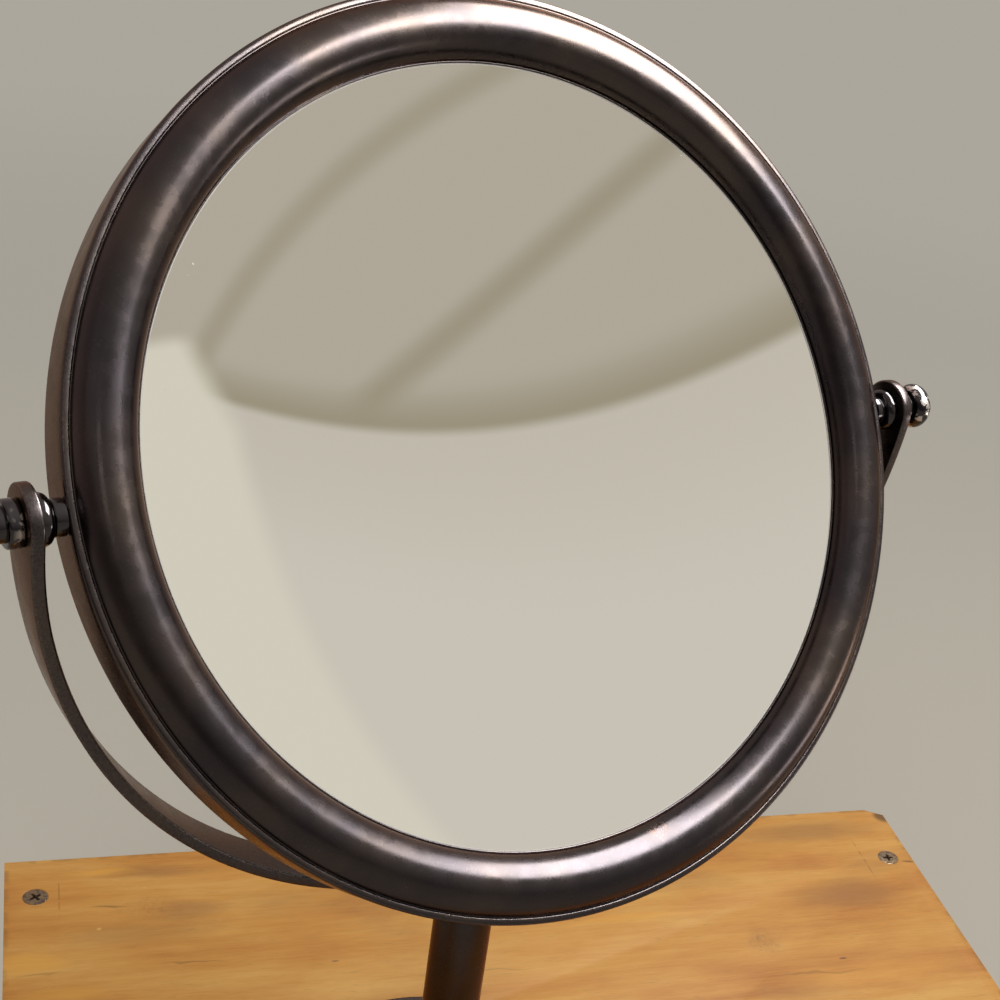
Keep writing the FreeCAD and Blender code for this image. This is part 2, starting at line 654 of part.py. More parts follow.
def on_pivot(shape):
    """Shape turned about Z, laid along the +X pivot."""
    return placed(shape, ORIGIN, X_AXIS)


def pivot_stud():
    """Stud screwed into the block inside the frame, with a collar outside it."""
    start = BLOCK_START + BLOCK_CLEARANCE
    return on_pivot(turned_path([(0, start), (STUD_RADIUS, start), (STUD_RADIUS, COLLAR_START),
                                 (COLLAR_RADIUS, COLLAR_START), (COLLAR_RADIUS, COLLAR_END),
                                 (STUD_RADIUS, COLLAR_END), (STUD_RADIUS, STUD_END), (0, STUD_END)]))


def pivot_block():
    height = (-BLOCK_HEIGHT / 2, BLOCK_HEIGHT / 2)
    block = box((BLOCK_START, BLOCK_END), height, (-BLOCK_BELOW_AXIS, BLOCK_ABOVE_AXIS))
    return block.cut(rod(STUD_RADIUS + SCREW_FIT, ORIGIN, X_AXIS, 2 * BLOCK_END))


def friction_washer():
    bore = STUD_RADIUS + SPIN_FIT
    end = WASHER_START + WASHER_THICKNESS
    return on_pivot(turned_path([(bore, WASHER_START), (WASHER_RADIUS, WASHER_START, WASHER_ROUND),
                                 (WASHER_RADIUS, end), (bore, end)]))


def tension_knob():
    """Knob with a shoulder against the ear, a neck and a flattened round head."""
    bore = STUD_RADIUS + SCREW_FIT
    bore_end = STUD_END + SCREW_FIT
    shoulder_end = KNOB_START + KNOB_SHOULDER_LENGTH
    end = KNOB_HEAD_START + KNOB_LENGTH
    edges = path([(0, end), (0, bore_end), (bore, bore_end), (bore, KNOB_START),
                  (KNOB_SHOULDER_RADIUS, KNOB_START),
                  (KNOB_SHOULDER_RADIUS, shoulder_end, KNOB_SHOULDER_ROUND),
                  (KNOB_NECK_RADIUS, shoulder_end), (KNOB_NECK_RADIUS, KNOB_HEAD_START),
                  (KNOB_RADIUS - KNOB_EDGE, KNOB_HEAD_START)])
    edges += button_head(KNOB_RADIUS, KNOB_EDGE, KNOB_HEAD_START, end - KNOB_DOME, end)
    return on_pivot(turned(edges))


def pivot_pieces():
    pieces = {}
    makers = {"pivot_stud": (pivot_stud, on_mirror), "pivot_block": (pivot_block, on_mirror),
              "friction_washer": (friction_washer, on_yoke),
              "tension_knob": (tension_knob, on_mirror)}
    for name, (make, put) in makers.items():
        pieces[name + "_right"] = put(make())
        pieces[name + "_left"] = put(other_side(make()))
    return pieces


# ---- mirror frame and glasses, turned about Z with the front towards +Z ----

def stud_holes():
    """Rods along both pivots, which cut the holes for the studs through the frame's wall."""
    holes = []
    for side in (-1, 1):
        start = FreeCAD.Vector(side * BLOCK_END, 0, 0)
        holes.append(rod(STUD_RADIUS + SCREW_FIT, start, X_AXIS * side, COLLAR_START - BLOCK_END))
    return holes


def front_bezel():
    """Half-round moulding with a groove and a raised lip, hollow behind, with a locating skirt."""
    seat = GLASS_LEVEL + SEAT_FIT
    foot = seat + MOULDING_FOOT
    foot_inner = FRONT_GLASS_RADIUS + GLASS_EDGE_CLEARANCE
    skirt_end = SEAM_LEVEL - SKIRT_DEPTH
    skirt_outer = WALL_INNER - SEAT_FIT
    skirt_inner = skirt_outer - SKIRT_THICKNESS
    crest = (MOULDING_CREST, CREST_LEVEL)
    hollow_crest = (MOULDING_CREST, CREST_LEVEL - BEZEL_WALL)
    edges = [bowed((GLASS_OPENING, foot), crest, (MOULDING_OUTER, GROOVE_LEVEL)),
             bowed((skirt_inner, SEAM_LEVEL), hollow_crest, (foot_inner, foot))]
    edges += path([(MOULDING_OUTER, GROOVE_LEVEL), (GROOVE_OUTER, GROOVE_LEVEL),
                   (GROOVE_OUTER, LIP_LEVEL, LIP_ROUND), (LIP_RADIUS, LIP_LEVEL, LIP_ROUND),
                   (LIP_RADIUS, SEAM_LEVEL), (skirt_outer, SEAM_LEVEL), (skirt_outer, skirt_end),
                   (skirt_inner, skirt_end), (skirt_inner, SEAM_LEVEL)])
    edges += path([(foot_inner, foot), (foot_inner, seat), (GLASS_OPENING, seat),
                   (GLASS_OPENING, foot)])
    return turned(edges).cut(stud_holes())


def rear_frame():
    """Deep ring whose back flange holds the plain glass."""
    top = SEAM_LEVEL - SEAT_FIT
    ring = turned_path([(GLASS_OPENING, REAR_LEVEL), (FRAME_RADIUS, REAR_LEVEL, REAR_ROUND),
                        (FRAME_RADIUS, top), (WALL_INNER, top), (WALL_INNER, REAR_FLANGE_FRONT),
                        (GLASS_OPENING, REAR_FLANGE_FRONT)])
    return ring.cut(stud_holes())


def magnifying_glass():
    """Shallow bowl of glass with a flat land round its edge."""
    back = GLASS_LEVEL - GLASS_THICKNESS
    bowl_back = BOWL_LEVEL - GLASS_THICKNESS
    edges = [cap(BOWL_RADIUS, GLASS_LEVEL, BOWL_LEVEL), cap(BACK_BOWL_RADIUS, back, bowl_back)]
    edges += path([(BOWL_RADIUS, GLASS_LEVEL), (FRONT_GLASS_RADIUS, GLASS_LEVEL),
                   (FRONT_GLASS_RADIUS, back), (BACK_BOWL_RADIUS, back)])
    edges += path([(0, bowl_back), (0, BOWL_LEVEL)])
    return turned(edges)


def plain_glass():
    start = FreeCAD.Vector(0, 0, REAR_GLASS_BACK)
    return rod(REAR_GLASS_RADIUS, start, Z_AXIS, GLASS_THICKNESS)


def glass_spacer():
    """Ring that keeps the two glasses apart, against the flat edge of each."""
    outer = REAR_GLASS_RADIUS - SEAT_FIT
    inner = BACK_BOWL_RADIUS + SEAT_FIT
    low = REAR_GLASS_FRONT + SEAT_FIT
    high = GLASS_LEVEL - GLASS_THICKNESS - SEAT_FIT
    return turned_path([(inner, low), (outer, low), (outer, high), (inner, high)])


def mirror_pieces():
    pieces = {"front_bezel": front_bezel(), "rear_frame": rear_frame(),
              "magnifying_glass": magnifying_glass(), "plain_glass": plain_glass(),
              "glass_spacer": glass_spacer()}
    return {name: on_mirror(shape) for name, shape in pieces.items()}


def all_pieces():
    pieces = {}
    for group in (case_pieces, runner_pieces, drawer_pieces, stand_pieces, pivot_pieces, mirror_pieces):
        pieces.update(group())
    return pieces


os.makedirs("parts", exist_ok=True)
for node, piece in all_pieces().items():
    piece.exportStep("parts/" + node + ".step")
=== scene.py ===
"""Looks of a round vanity mirror that tilts and swivels on a wooden box with one drawer.

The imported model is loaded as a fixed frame. Each sub-assembly below is a class that builds
its own pieces over that frame, in metres, and dresses them in their finishes.
"""
import json
import logging
import math
from dataclasses import dataclass, field
from enum import Enum
from typing import Any, Iterable, Optional, Sequence

import bmesh
import bpy
from mathutils import Matrix, Vector


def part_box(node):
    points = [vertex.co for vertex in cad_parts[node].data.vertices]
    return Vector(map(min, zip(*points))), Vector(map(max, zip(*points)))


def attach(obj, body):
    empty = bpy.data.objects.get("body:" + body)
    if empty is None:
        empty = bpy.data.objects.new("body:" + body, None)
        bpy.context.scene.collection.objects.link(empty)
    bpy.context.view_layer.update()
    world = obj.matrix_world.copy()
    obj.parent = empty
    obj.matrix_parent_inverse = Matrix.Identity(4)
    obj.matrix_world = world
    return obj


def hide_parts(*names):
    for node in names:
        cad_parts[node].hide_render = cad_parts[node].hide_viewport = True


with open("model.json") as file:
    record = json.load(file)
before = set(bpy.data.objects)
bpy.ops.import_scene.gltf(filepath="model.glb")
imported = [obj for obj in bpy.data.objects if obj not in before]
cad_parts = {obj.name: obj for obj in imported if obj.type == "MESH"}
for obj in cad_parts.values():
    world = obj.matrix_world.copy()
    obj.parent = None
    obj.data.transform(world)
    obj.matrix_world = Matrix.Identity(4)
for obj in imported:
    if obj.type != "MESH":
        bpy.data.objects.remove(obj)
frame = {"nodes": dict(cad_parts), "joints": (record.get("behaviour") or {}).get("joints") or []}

log = logging.getLogger("vanity_mirror")

MM = 0.001
UP = Vector((0.0, 0.0, 1.0))
ON_AXIS = 1e-9
SCREW_STEPS = 40
SMALL_STEPS = 64
MIDDLE_STEPS = 96
TURN_STEPS = 192
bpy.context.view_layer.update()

Colour = tuple[float, float, float]
Triple = tuple[float, float, float]
Pair = tuple[float, float]
Socket = bpy.types.NodeSocket
Material = bpy.types.Material
Mesh = bpy.types.Mesh
Thing = bpy.types.Object


# ---- places that the frame gives ----

def joint(name: str) -> dict[str, Any]:
    """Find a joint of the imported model.

    Args:
        name: The joint's name in the record.

    Returns:
        The joint's entry, with its place and axis.
    """
    return next(entry for entry in frame["joints"] if entry["name"] == name)


def span(node: str) -> tuple[Vector, Vector, Vector]:
    """Give a node's lowest corner, highest corner and size."""
    low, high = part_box(node)
    return low, high, high - low


def middle_of(node: str) -> Vector:
    """Give the middle of a node's box."""
    return sum(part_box(node), Vector()) / 2


def islands(node: str) -> list[tuple[Vector, Vector]]:
    """Give the box of each separate solid in a node, in a fixed order.

    Args:
        node: The node, whose mesh may be loose triangles.

    Returns:
        The lowest and highest corner of each solid.
    """
    work = bmesh.new()
    work.from_mesh(frame["nodes"][node].data)
    bmesh.ops.remove_doubles(work, verts=work.verts, dist=0.001 * MM)
    left = set(work.verts)
    boxes = []
    while left:
        stack = [left.pop()]
        corners = []
        while stack:
            here = stack.pop()
            corners.append(here.co.copy())
            for edge in here.link_edges:
                other = edge.other_vert(here)
                if other in left:
                    left.remove(other)
                    stack.append(other)
        low = Vector([min(corner[axis] for corner in corners) for axis in range(3)])
        high = Vector([max(corner[axis] for corner in corners) for axis in range(3)])
        boxes.append((low, high))
    work.free()
    return sorted(boxes, key=lambda box: tuple(round(value, 5) for value in box[0]))


class Side(Enum):
    """End of the pivots' axis."""

    LEFT = -1
    RIGHT = 1


@dataclass(frozen=True)
class Places:
    """Placing of the yoke and of the mirror, from the tilt joint.

    In both, X runs along the pivots, Y up and Z towards the front.
    """

    tilt: float = math.radians(32.1)

    def pivot(self) -> Vector:
        """Give the middle of the pivots' axis."""
        return Vector(joint("mirror_tilt")["pos_m"])

    def yoke(self) -> Matrix:
        """Give the placing of the upright yoke.

        Returns:
            The matrix of the yoke's own X, Y and Z.
        """
        across = Vector(joint("mirror_tilt")["axis"]).normalized()
        turn = Matrix((across, UP, across.cross(UP))).transposed().to_4x4()
        return Matrix.Translation(self.pivot()) @ turn

    def mirror(self) -> Matrix:
        """Give the placing of the mirror at its stored tilt."""
        return self.yoke() @ Matrix.Rotation(-self.tilt, 4, "X")

    def along_pivot(self, side: Side, on_mirror: bool) -> Matrix:
        """Give the placing of a piece turned about Z that lies along one pivot.

        Args:
            side: The end of the pivots' axis.
            on_mirror: Whether the piece tilts with the mirror.

        Returns:
            The matrix that lays +Z outwards along the pivot.
        """
        base = self.mirror() if on_mirror else self.yoke()
        return base @ Matrix.Rotation(side.value * math.pi / 2, 4, "Y")


def in_scene(name: str, data: Any) -> Thing:
    """Put a new object into the scene.

    Args:
        name: Its name.
        data: Its mesh, lamp or camera.

    Returns:
        The object, at the origin.
    """
    thing = bpy.data.objects.new(name, data)
    bpy.context.scene.collection.objects.link(thing)
    return thing


# ---- node trees ----

SOCKETS = {
    "colour": "Base Color",
    "metallic": "Metallic",
    "roughness": "Roughness",
    "specular": "Specular IOR Level",
    "coat": "Coat Weight",
    "coat_roughness": "Coat Roughness",
    "sheen": "Sheen Weight",
    "sheen_roughness": "Sheen Roughness",
    "edge_tint": "Specular Tint",
    "normal": "Normal",
    "alpha": "Alpha",
    "glow": "Emission Color",
    "glow_strength": "Emission Strength",
}


class Sheet:
    """Adds and joins the nodes of one tree."""

    def __init__(self, tree: bpy.types.NodeTree) -> None:
        """Keep the tree that the nodes go into."""
        self.tree = tree

    def add(self, kind: str, **settings: Any) -> bpy.types.Node:
        """Add a node and set its options.

        Args:
            kind: The node's type.
            **settings: Value of each option.

        Returns:
            The node.
        """
        node = self.tree.nodes.new(kind)
        for name, value in settings.items():
            setattr(node, name, value)
        return node

    def put(self, socket: Socket, value: Any) -> None:
        """Join a socket to another one, or give it a fixed value.

        Args:
            socket: The input.
            value: Another socket, or the value.
        """
        if isinstance(value, Socket):
            self.tree.links.new(value, socket)
        else:
            socket.default_value = value


class Patterns(Sheet):
    """Patterns and sums that feed a shader."""

    def place(self) -> Socket:
        """Give the Object coordinates."""
        return self.add("ShaderNodeTexCoord").outputs["Object"]

    def facing(self) -> Socket:
        """Give the surface normal in object space."""
        return self.add("ShaderNodeTexCoord").outputs["Normal"]

    def attribute(self, name: str) -> Socket:
        """Give a number stored on the mesh."""
        return self.add("ShaderNodeAttribute", attribute_name=name).outputs["Fac"]

    def mapped(self, vector: Socket, offset: Sequence[float] = (0, 0, 0),
               turn: Sequence[float] = (0, 0, 0), scale: Sequence[float] = (1, 1, 1)) -> Socket:
        """Move, turn and stretch a vector.

        Args:
            vector: The vector.
            offset: How far it is moved.
            turn: Angles that it is turned by.
            scale: Stretch along each axis.

        Returns:
            The changed vector.
        """
        node = self.add("ShaderNodeMapping")
        self.put(node.inputs["Vector"], vector)
        node.inputs["Location"].default_value = offset
        node.inputs["Rotation"].default_value = turn
        node.inputs["Scale"].default_value = scale
        return node.outputs["Vector"]

    def noise(self, vector: Socket, size: float, detail: float = 2.0,
              roughness: float = 0.5, distortion: float = 0.0) -> Socket:
        """Give soft noise whose cells have about the given size in metres.

        Args:
            vector: Coordinates.
            size: Size of a cell in metres.
            detail: Number of finer layers.
            roughness: Share that each finer layer keeps.
            distortion: How far the cells are bent.

        Returns:
            A number from 0 to 1.
        """
        node = self.add("ShaderNodeTexNoise")
        self.put(node.inputs["Vector"], vector)
        node.inputs["Scale"].default_value = 1.0 / size
        node.inputs["Detail"].default_value = detail
        node.inputs["Roughness"].default_value = roughness
        node.inputs["Distortion"].default_value = distortion
        return node.outputs["Fac"]

    def math(self, operation: str, first: Any, second: Any = 0.0) -> Socket:
        """Work out one number from two.

        Args:
            operation: The sum's name.
            first: First number or socket.
            second: Second number or socket.

        Returns:
            The result.
        """
        node = self.add("ShaderNodeMath", operation=operation)
        self.put(node.inputs[0], first)
        self.put(node.inputs[1], second)
        return node.outputs["Value"]

    def remap(self, value: Any, low: float, high: float, to_low: float = 0.0,
              to_high: float = 1.0) -> Socket:
        """Spread low to high smoothly over another range, and hold it past both.

        Args:
            value: Number or socket.
            low: Start of its range.
            high: End of its range.
            to_low: What the start becomes.
            to_high: What the end becomes.

        Returns:
            The number in its new range.
        """
        node = self.add("ShaderNodeMapRange", interpolation_type="SMOOTHSTEP")
        for name, setting in (("Value", value), ("From Min", low), ("From Max", high),
                              ("To Min", to_low), ("To Max", to_high)):
            self.put(node.inputs[name], setting)
        return node.outputs["Result"]

    def ramp(self, value: Any, stops: Iterable[tuple[float, Colour]]) -> Socket:
        """Turn a number into a colour.

        Args:
            value: Number from 0 to 1.
            stops: Position and colour of each stop.

        Returns:
            The colour.
        """
        node = self.add("ShaderNodeValToRGB")
        elements = node.color_ramp.elements
        for number, (position, colour) in enumerate(stops):
            element = elements[number] if number < 2 else elements.new(position)
            element.position = position
            element.color = (*colour, 1.0)
        self.put(node.inputs["Fac"], value)
        return node.outputs["Color"]

    def blend(self, factor: Any, first: Any, second: Any) -> Socket:
        """Mix two colours.

        Args:
            factor: The second colour's share.
            first: First colour.
            second: Second colour.

        Returns:
            The mixed colour.
        """
        node = self.add("ShaderNodeMix", data_type="RGBA")
        self.put(node.inputs[0], factor)
        for socket, value in ((node.inputs[6], first), (node.inputs[7], second)):
            self.put(socket, (*value, 1.0) if isinstance(value, tuple) else value)
        return node.outputs[2]

    def bump(self, height: Any, depth: float, strength: float = 1.0) -> Socket:
        """Turn a height into a surface normal.

        Args:
            height: Number from 0 to 1.
            depth: Depth of the relief in metres.
            strength: Share of the relief that shows.

        Returns:
            The bent normal.
        """
        node = self.add("ShaderNodeBump")
        node.inputs["Strength"].default_value = strength
        node.inputs["Distance"].default_value = depth
        self.put(node.inputs["Height"], height)
        return node.outputs["Normal"]

    def parts(self, vector: Socket) -> tuple[Socket, Socket, Socket]:
        """Split a vector into its X, Y and Z.

        Args:
            vector: The vector.

        Returns:
            Its three numbers.
        """
        node = self.add("ShaderNodeSeparateXYZ")
        self.put(node.inputs[0], vector)
        return node.outputs[0], node.outputs[1], node.outputs[2]

    def length(self, vector: Socket) -> Socket:
        """Give the length of a vector.

        Args:
            vector: The vector.

        Returns:
            Its length.
        """
        node = self.add("ShaderNodeVectorMath", operation="LENGTH")
        self.put(node.inputs[0], vector)
        return node.outputs["Value"]


class Shading(Patterns):
    """One material with a Principled shader."""

    def __init__(self, name: str) -> None:
        """Make the material and its shader.

        Args:
            name: The material's name.
        """
        self.material = bpy.data.materials.new(name)
        self.material.use_nodes = True
        super().__init__(self.material.node_tree)
        self.tree.nodes.clear()
        self.shader = self.add("ShaderNodeBsdfPrincipled")
        output = self.add("ShaderNodeOutputMaterial")
        self.put(output.inputs["Surface"], self.shader.outputs["BSDF"])

    def set(self, **inputs: Any) -> Material:
        """Set the shader's inputs, by the short names in SOCKETS.

        Args:
            **inputs: Value or socket of each input.

        Returns:
            The material.
        """
        for name, value in inputs.items():
            if isinstance(value, tuple) and len(value) == 3:
                value = (*value, 1.0)
            self.put(self.shader.inputs[SOCKETS[name]], value)
        return self.material


# ---- finishes ----

@dataclass(frozen=True)
class BronzeFinish:
    """Dark, oil-rubbed bronze with a satin sheen, a fine speckle and one scratched spot."""

    name: str = "dark_bronze"
    dark: Colour = (0.038, 0.031, 0.034)
    brown: Colour = (0.062, 0.046, 0.040)
    rubbed: Colour = (0.20, 0.165, 0.15)
    grazing: Colour = (0.72, 0.54, 0.46)
    copper: Colour = (0.17, 0.09, 0.07)
    speckle: float = 0.5 * MM
    cloud: float = 26 * MM
    scratch: Triple = (-0.0148, -0.0635, 0.2711)
    scratch_reach: float = 3.4 * MM
    scratch_size: float = 1.7 * MM
    flecks: float = 0.16
    gloss: Pair = (0.22, 0.31)
    lacquer: float = 0.2
    lacquer_gloss: float = 0.25
    relief: float = 0.02 * MM
    relief_share: float = 0.12

    def make(self) -> Material:
        """Build the material.

        Returns:
            The material.
        """
        sheet = Shading(self.name)
        place = sheet.place()
        cloud = sheet.remap(sheet.noise(place, self.cloud, 3.0), 0.35, 0.7)
        speckle = sheet.noise(place, self.speckle, 2.0, 0.65)
        base = sheet.blend(cloud, self.dark, self.brown)
        base = sheet.blend(sheet.remap(speckle, 0.60, 0.76, 0.0, self.flecks), base, self.rubbed)
        worn = sheet.math("MULTIPLY", sheet.attribute("edge"), sheet.remap(speckle, 0.3, 0.6))
        base = sheet.blend(sheet.math("MULTIPLY", worn, 0.4), base, self.rubbed)
        scratched = self.scratched(sheet, place)
        base = sheet.blend(scratched, base, self.copper)
        gloss = sheet.remap(sheet.noise(place, self.speckle * 9, 3.0), 0.3, 0.7, *self.gloss)
        gloss = sheet.math("ADD", gloss, sheet.math("MULTIPLY", scratched, 0.3))
        return sheet.set(colour=base, metallic=1.0, roughness=gloss, edge_tint=self.grazing,
                         coat=self.lacquer, coat_roughness=self.lacquer_gloss,
                         normal=sheet.bump(speckle, self.relief, self.relief_share))

    def scratched(self, sheet: Shading, place: Socket) -> Socket:
        """Give the share of bare copper: thin scratches in one small spot.

        Args:
            sheet: The material's nodes.
            place: Object coordinates.

        Returns:
            The share, from 0 to 1.
        """
        away = sheet.length(sheet.mapped(place, offset=tuple(-part for part in self.scratch)))
        near = sheet.remap(away, 0.4 * self.scratch_reach, self.scratch_reach, 1.0, 0.0)
        lines = sheet.math("SUBTRACT", sheet.noise(place, self.scratch_size, 1.0, 0.5, 1.2), 0.5)
        lines = sheet.remap(sheet.math("ABSOLUTE", lines), 0.006, 0.03, 1.0, 0.0)
        return sheet.math("MULTIPLY", near, lines)


@dataclass(frozen=True)
class BlackNickelFinish:
    """Polished black nickel, slightly hammered, rubbed bright where fingers turn it."""

    name: str = "black_nickel"
    dark: Colour = (0.060, 0.055, 0.057)
    bright: Colour = (0.52, 0.46, 0.43)
    ripple: float = 2.2 * MM
    ripple_depth: float = 0.06 * MM
    smudge: float = 3 * MM
    wear: float = 3.4 * MM
    gloss: Pair = (0.06, 0.16)
    worn_gloss: float = 0.22

    def make(self) -> Material:
        """Build the material.

        Returns:
            The material.
        """
        sheet = Shading(self.name)
        place = sheet.place()
        ripple = sheet.noise(place, self.ripple, 1.0, 0.4, 0.3)
        smudge = sheet.remap(sheet.noise(place, self.smudge, 4.0), 0.35, 0.7, *self.gloss)
        ragged = sheet.noise(place, self.wear, 4.0, 0.65, 0.6)
        rubbed = sheet.math("MULTIPLY", sheet.attribute("edge"), sheet.remap(ragged, 0.50, 0.56))
        gloss = sheet.math("ADD", smudge, sheet.math("MULTIPLY", rubbed, self.worn_gloss))
        return sheet.set(colour=sheet.blend(rubbed, self.dark, self.bright), metallic=1.0,
                         roughness=gloss, normal=sheet.bump(ripple, self.ripple_depth))


@dataclass(frozen=True)
class ScrewSteelFinish:
    """Dulled zinc plate, brown where dirt has settled."""

    name: str = "screw_steel"
    zinc: Colour = (0.22, 0.150, 0.085)
    rust: Colour = (0.055, 0.028, 0.015)
    dirt: float = 1.1 * MM
    dirt_depth: float = 0.04 * MM

    def make(self) -> Material:
        """Build the material.

        Returns:
            The material.
        """
        sheet = Shading(self.name)
        place = sheet.place()
        dirt = sheet.remap(sheet.noise(place, self.dirt, 4.0, 0.6), 0.38, 0.62)
        return sheet.set(colour=sheet.blend(dirt, self.zinc, self.rust),
                         metallic=sheet.remap(dirt, 0.0, 1.0, 0.9, 0.2),
                         roughness=sheet.remap(dirt, 0.0, 1.0, 0.35, 0.8),
                         normal=sheet.bump(dirt, self.dirt_depth))


@dataclass(frozen=True)
class SilveredGlassFinish:
    """Polished mirror glass with a ground rim and a few flecks of dust near it."""

    name: str = "silvered_glass"
    silver: Colour = (0.90, 0.905, 0.885)
    ground: Colour = (0.84, 0.83, 0.79)
    dust: Colour = (0.85, 0.84, 0.80)
    fleck_spacing: float = 5 * MM
    fleck_patches: float = 16 * MM
    polish: float = 0.012
    ground_gloss: float = 0.5

    def make(self) -> Material:
        """Build the material.

        Returns:
            The material.
        """
        sheet = Shading(self.name)
        place = sheet.place()
        cells = sheet.add("ShaderNodeTexVoronoi")
        sheet.put(cells.inputs["Vector"], place)
        cells.inputs["Scale"].default_value = 1.0 / self.fleck_spacing
        spots = sheet.remap(cells.outputs["Distance"], 0.035, 0.06, 1.0, 0.0)
        sparse = sheet.remap(sheet.noise(place, self.fleck_patches), 0.54, 0.6)
        spots = sheet.math("MULTIPLY", spots, sparse)
        rim = sheet.attribute("edge")
        spots = sheet.math("MULTIPLY", spots, sheet.remap(rim, 0.15, 0.4))
        ground = sheet.remap(rim, 0.75, 0.8)
        colour = sheet.blend(ground, sheet.blend(spots, self.silver, self.dust), self.ground)
        dull = sheet.math("MAXIMUM", spots, ground)
        return sheet.set(colour=colour, metallic=sheet.remap(dull, 0.0, 1.0, 1.0, 0.3),
                         roughness=sheet.remap(dull, 0.0, 1.0, self.polish, self.ground_gloss))


class GrainAxis(Enum):
    """Axis that a board's grain runs along."""

    X = 0
    Y = 1
    Z = 2


class MarkKind(Enum):
    """Kind of mark on a board."""

    KNOT = "knot"
    DENT = "dent"
    NICK = "nick"
    SMOKE = "smoke"
    STREAK = "streak"
    GLOW = "glow"
    PENCIL = "pencil"


@dataclass(frozen=True)
class Mark:
    """One mark on the top of a board: its kind, middle, and reach along X and along Y."""

    kind: MarkKind
    x: float
    y: float
    reach_x: float
    reach_y: float
    strength: float = 0.6


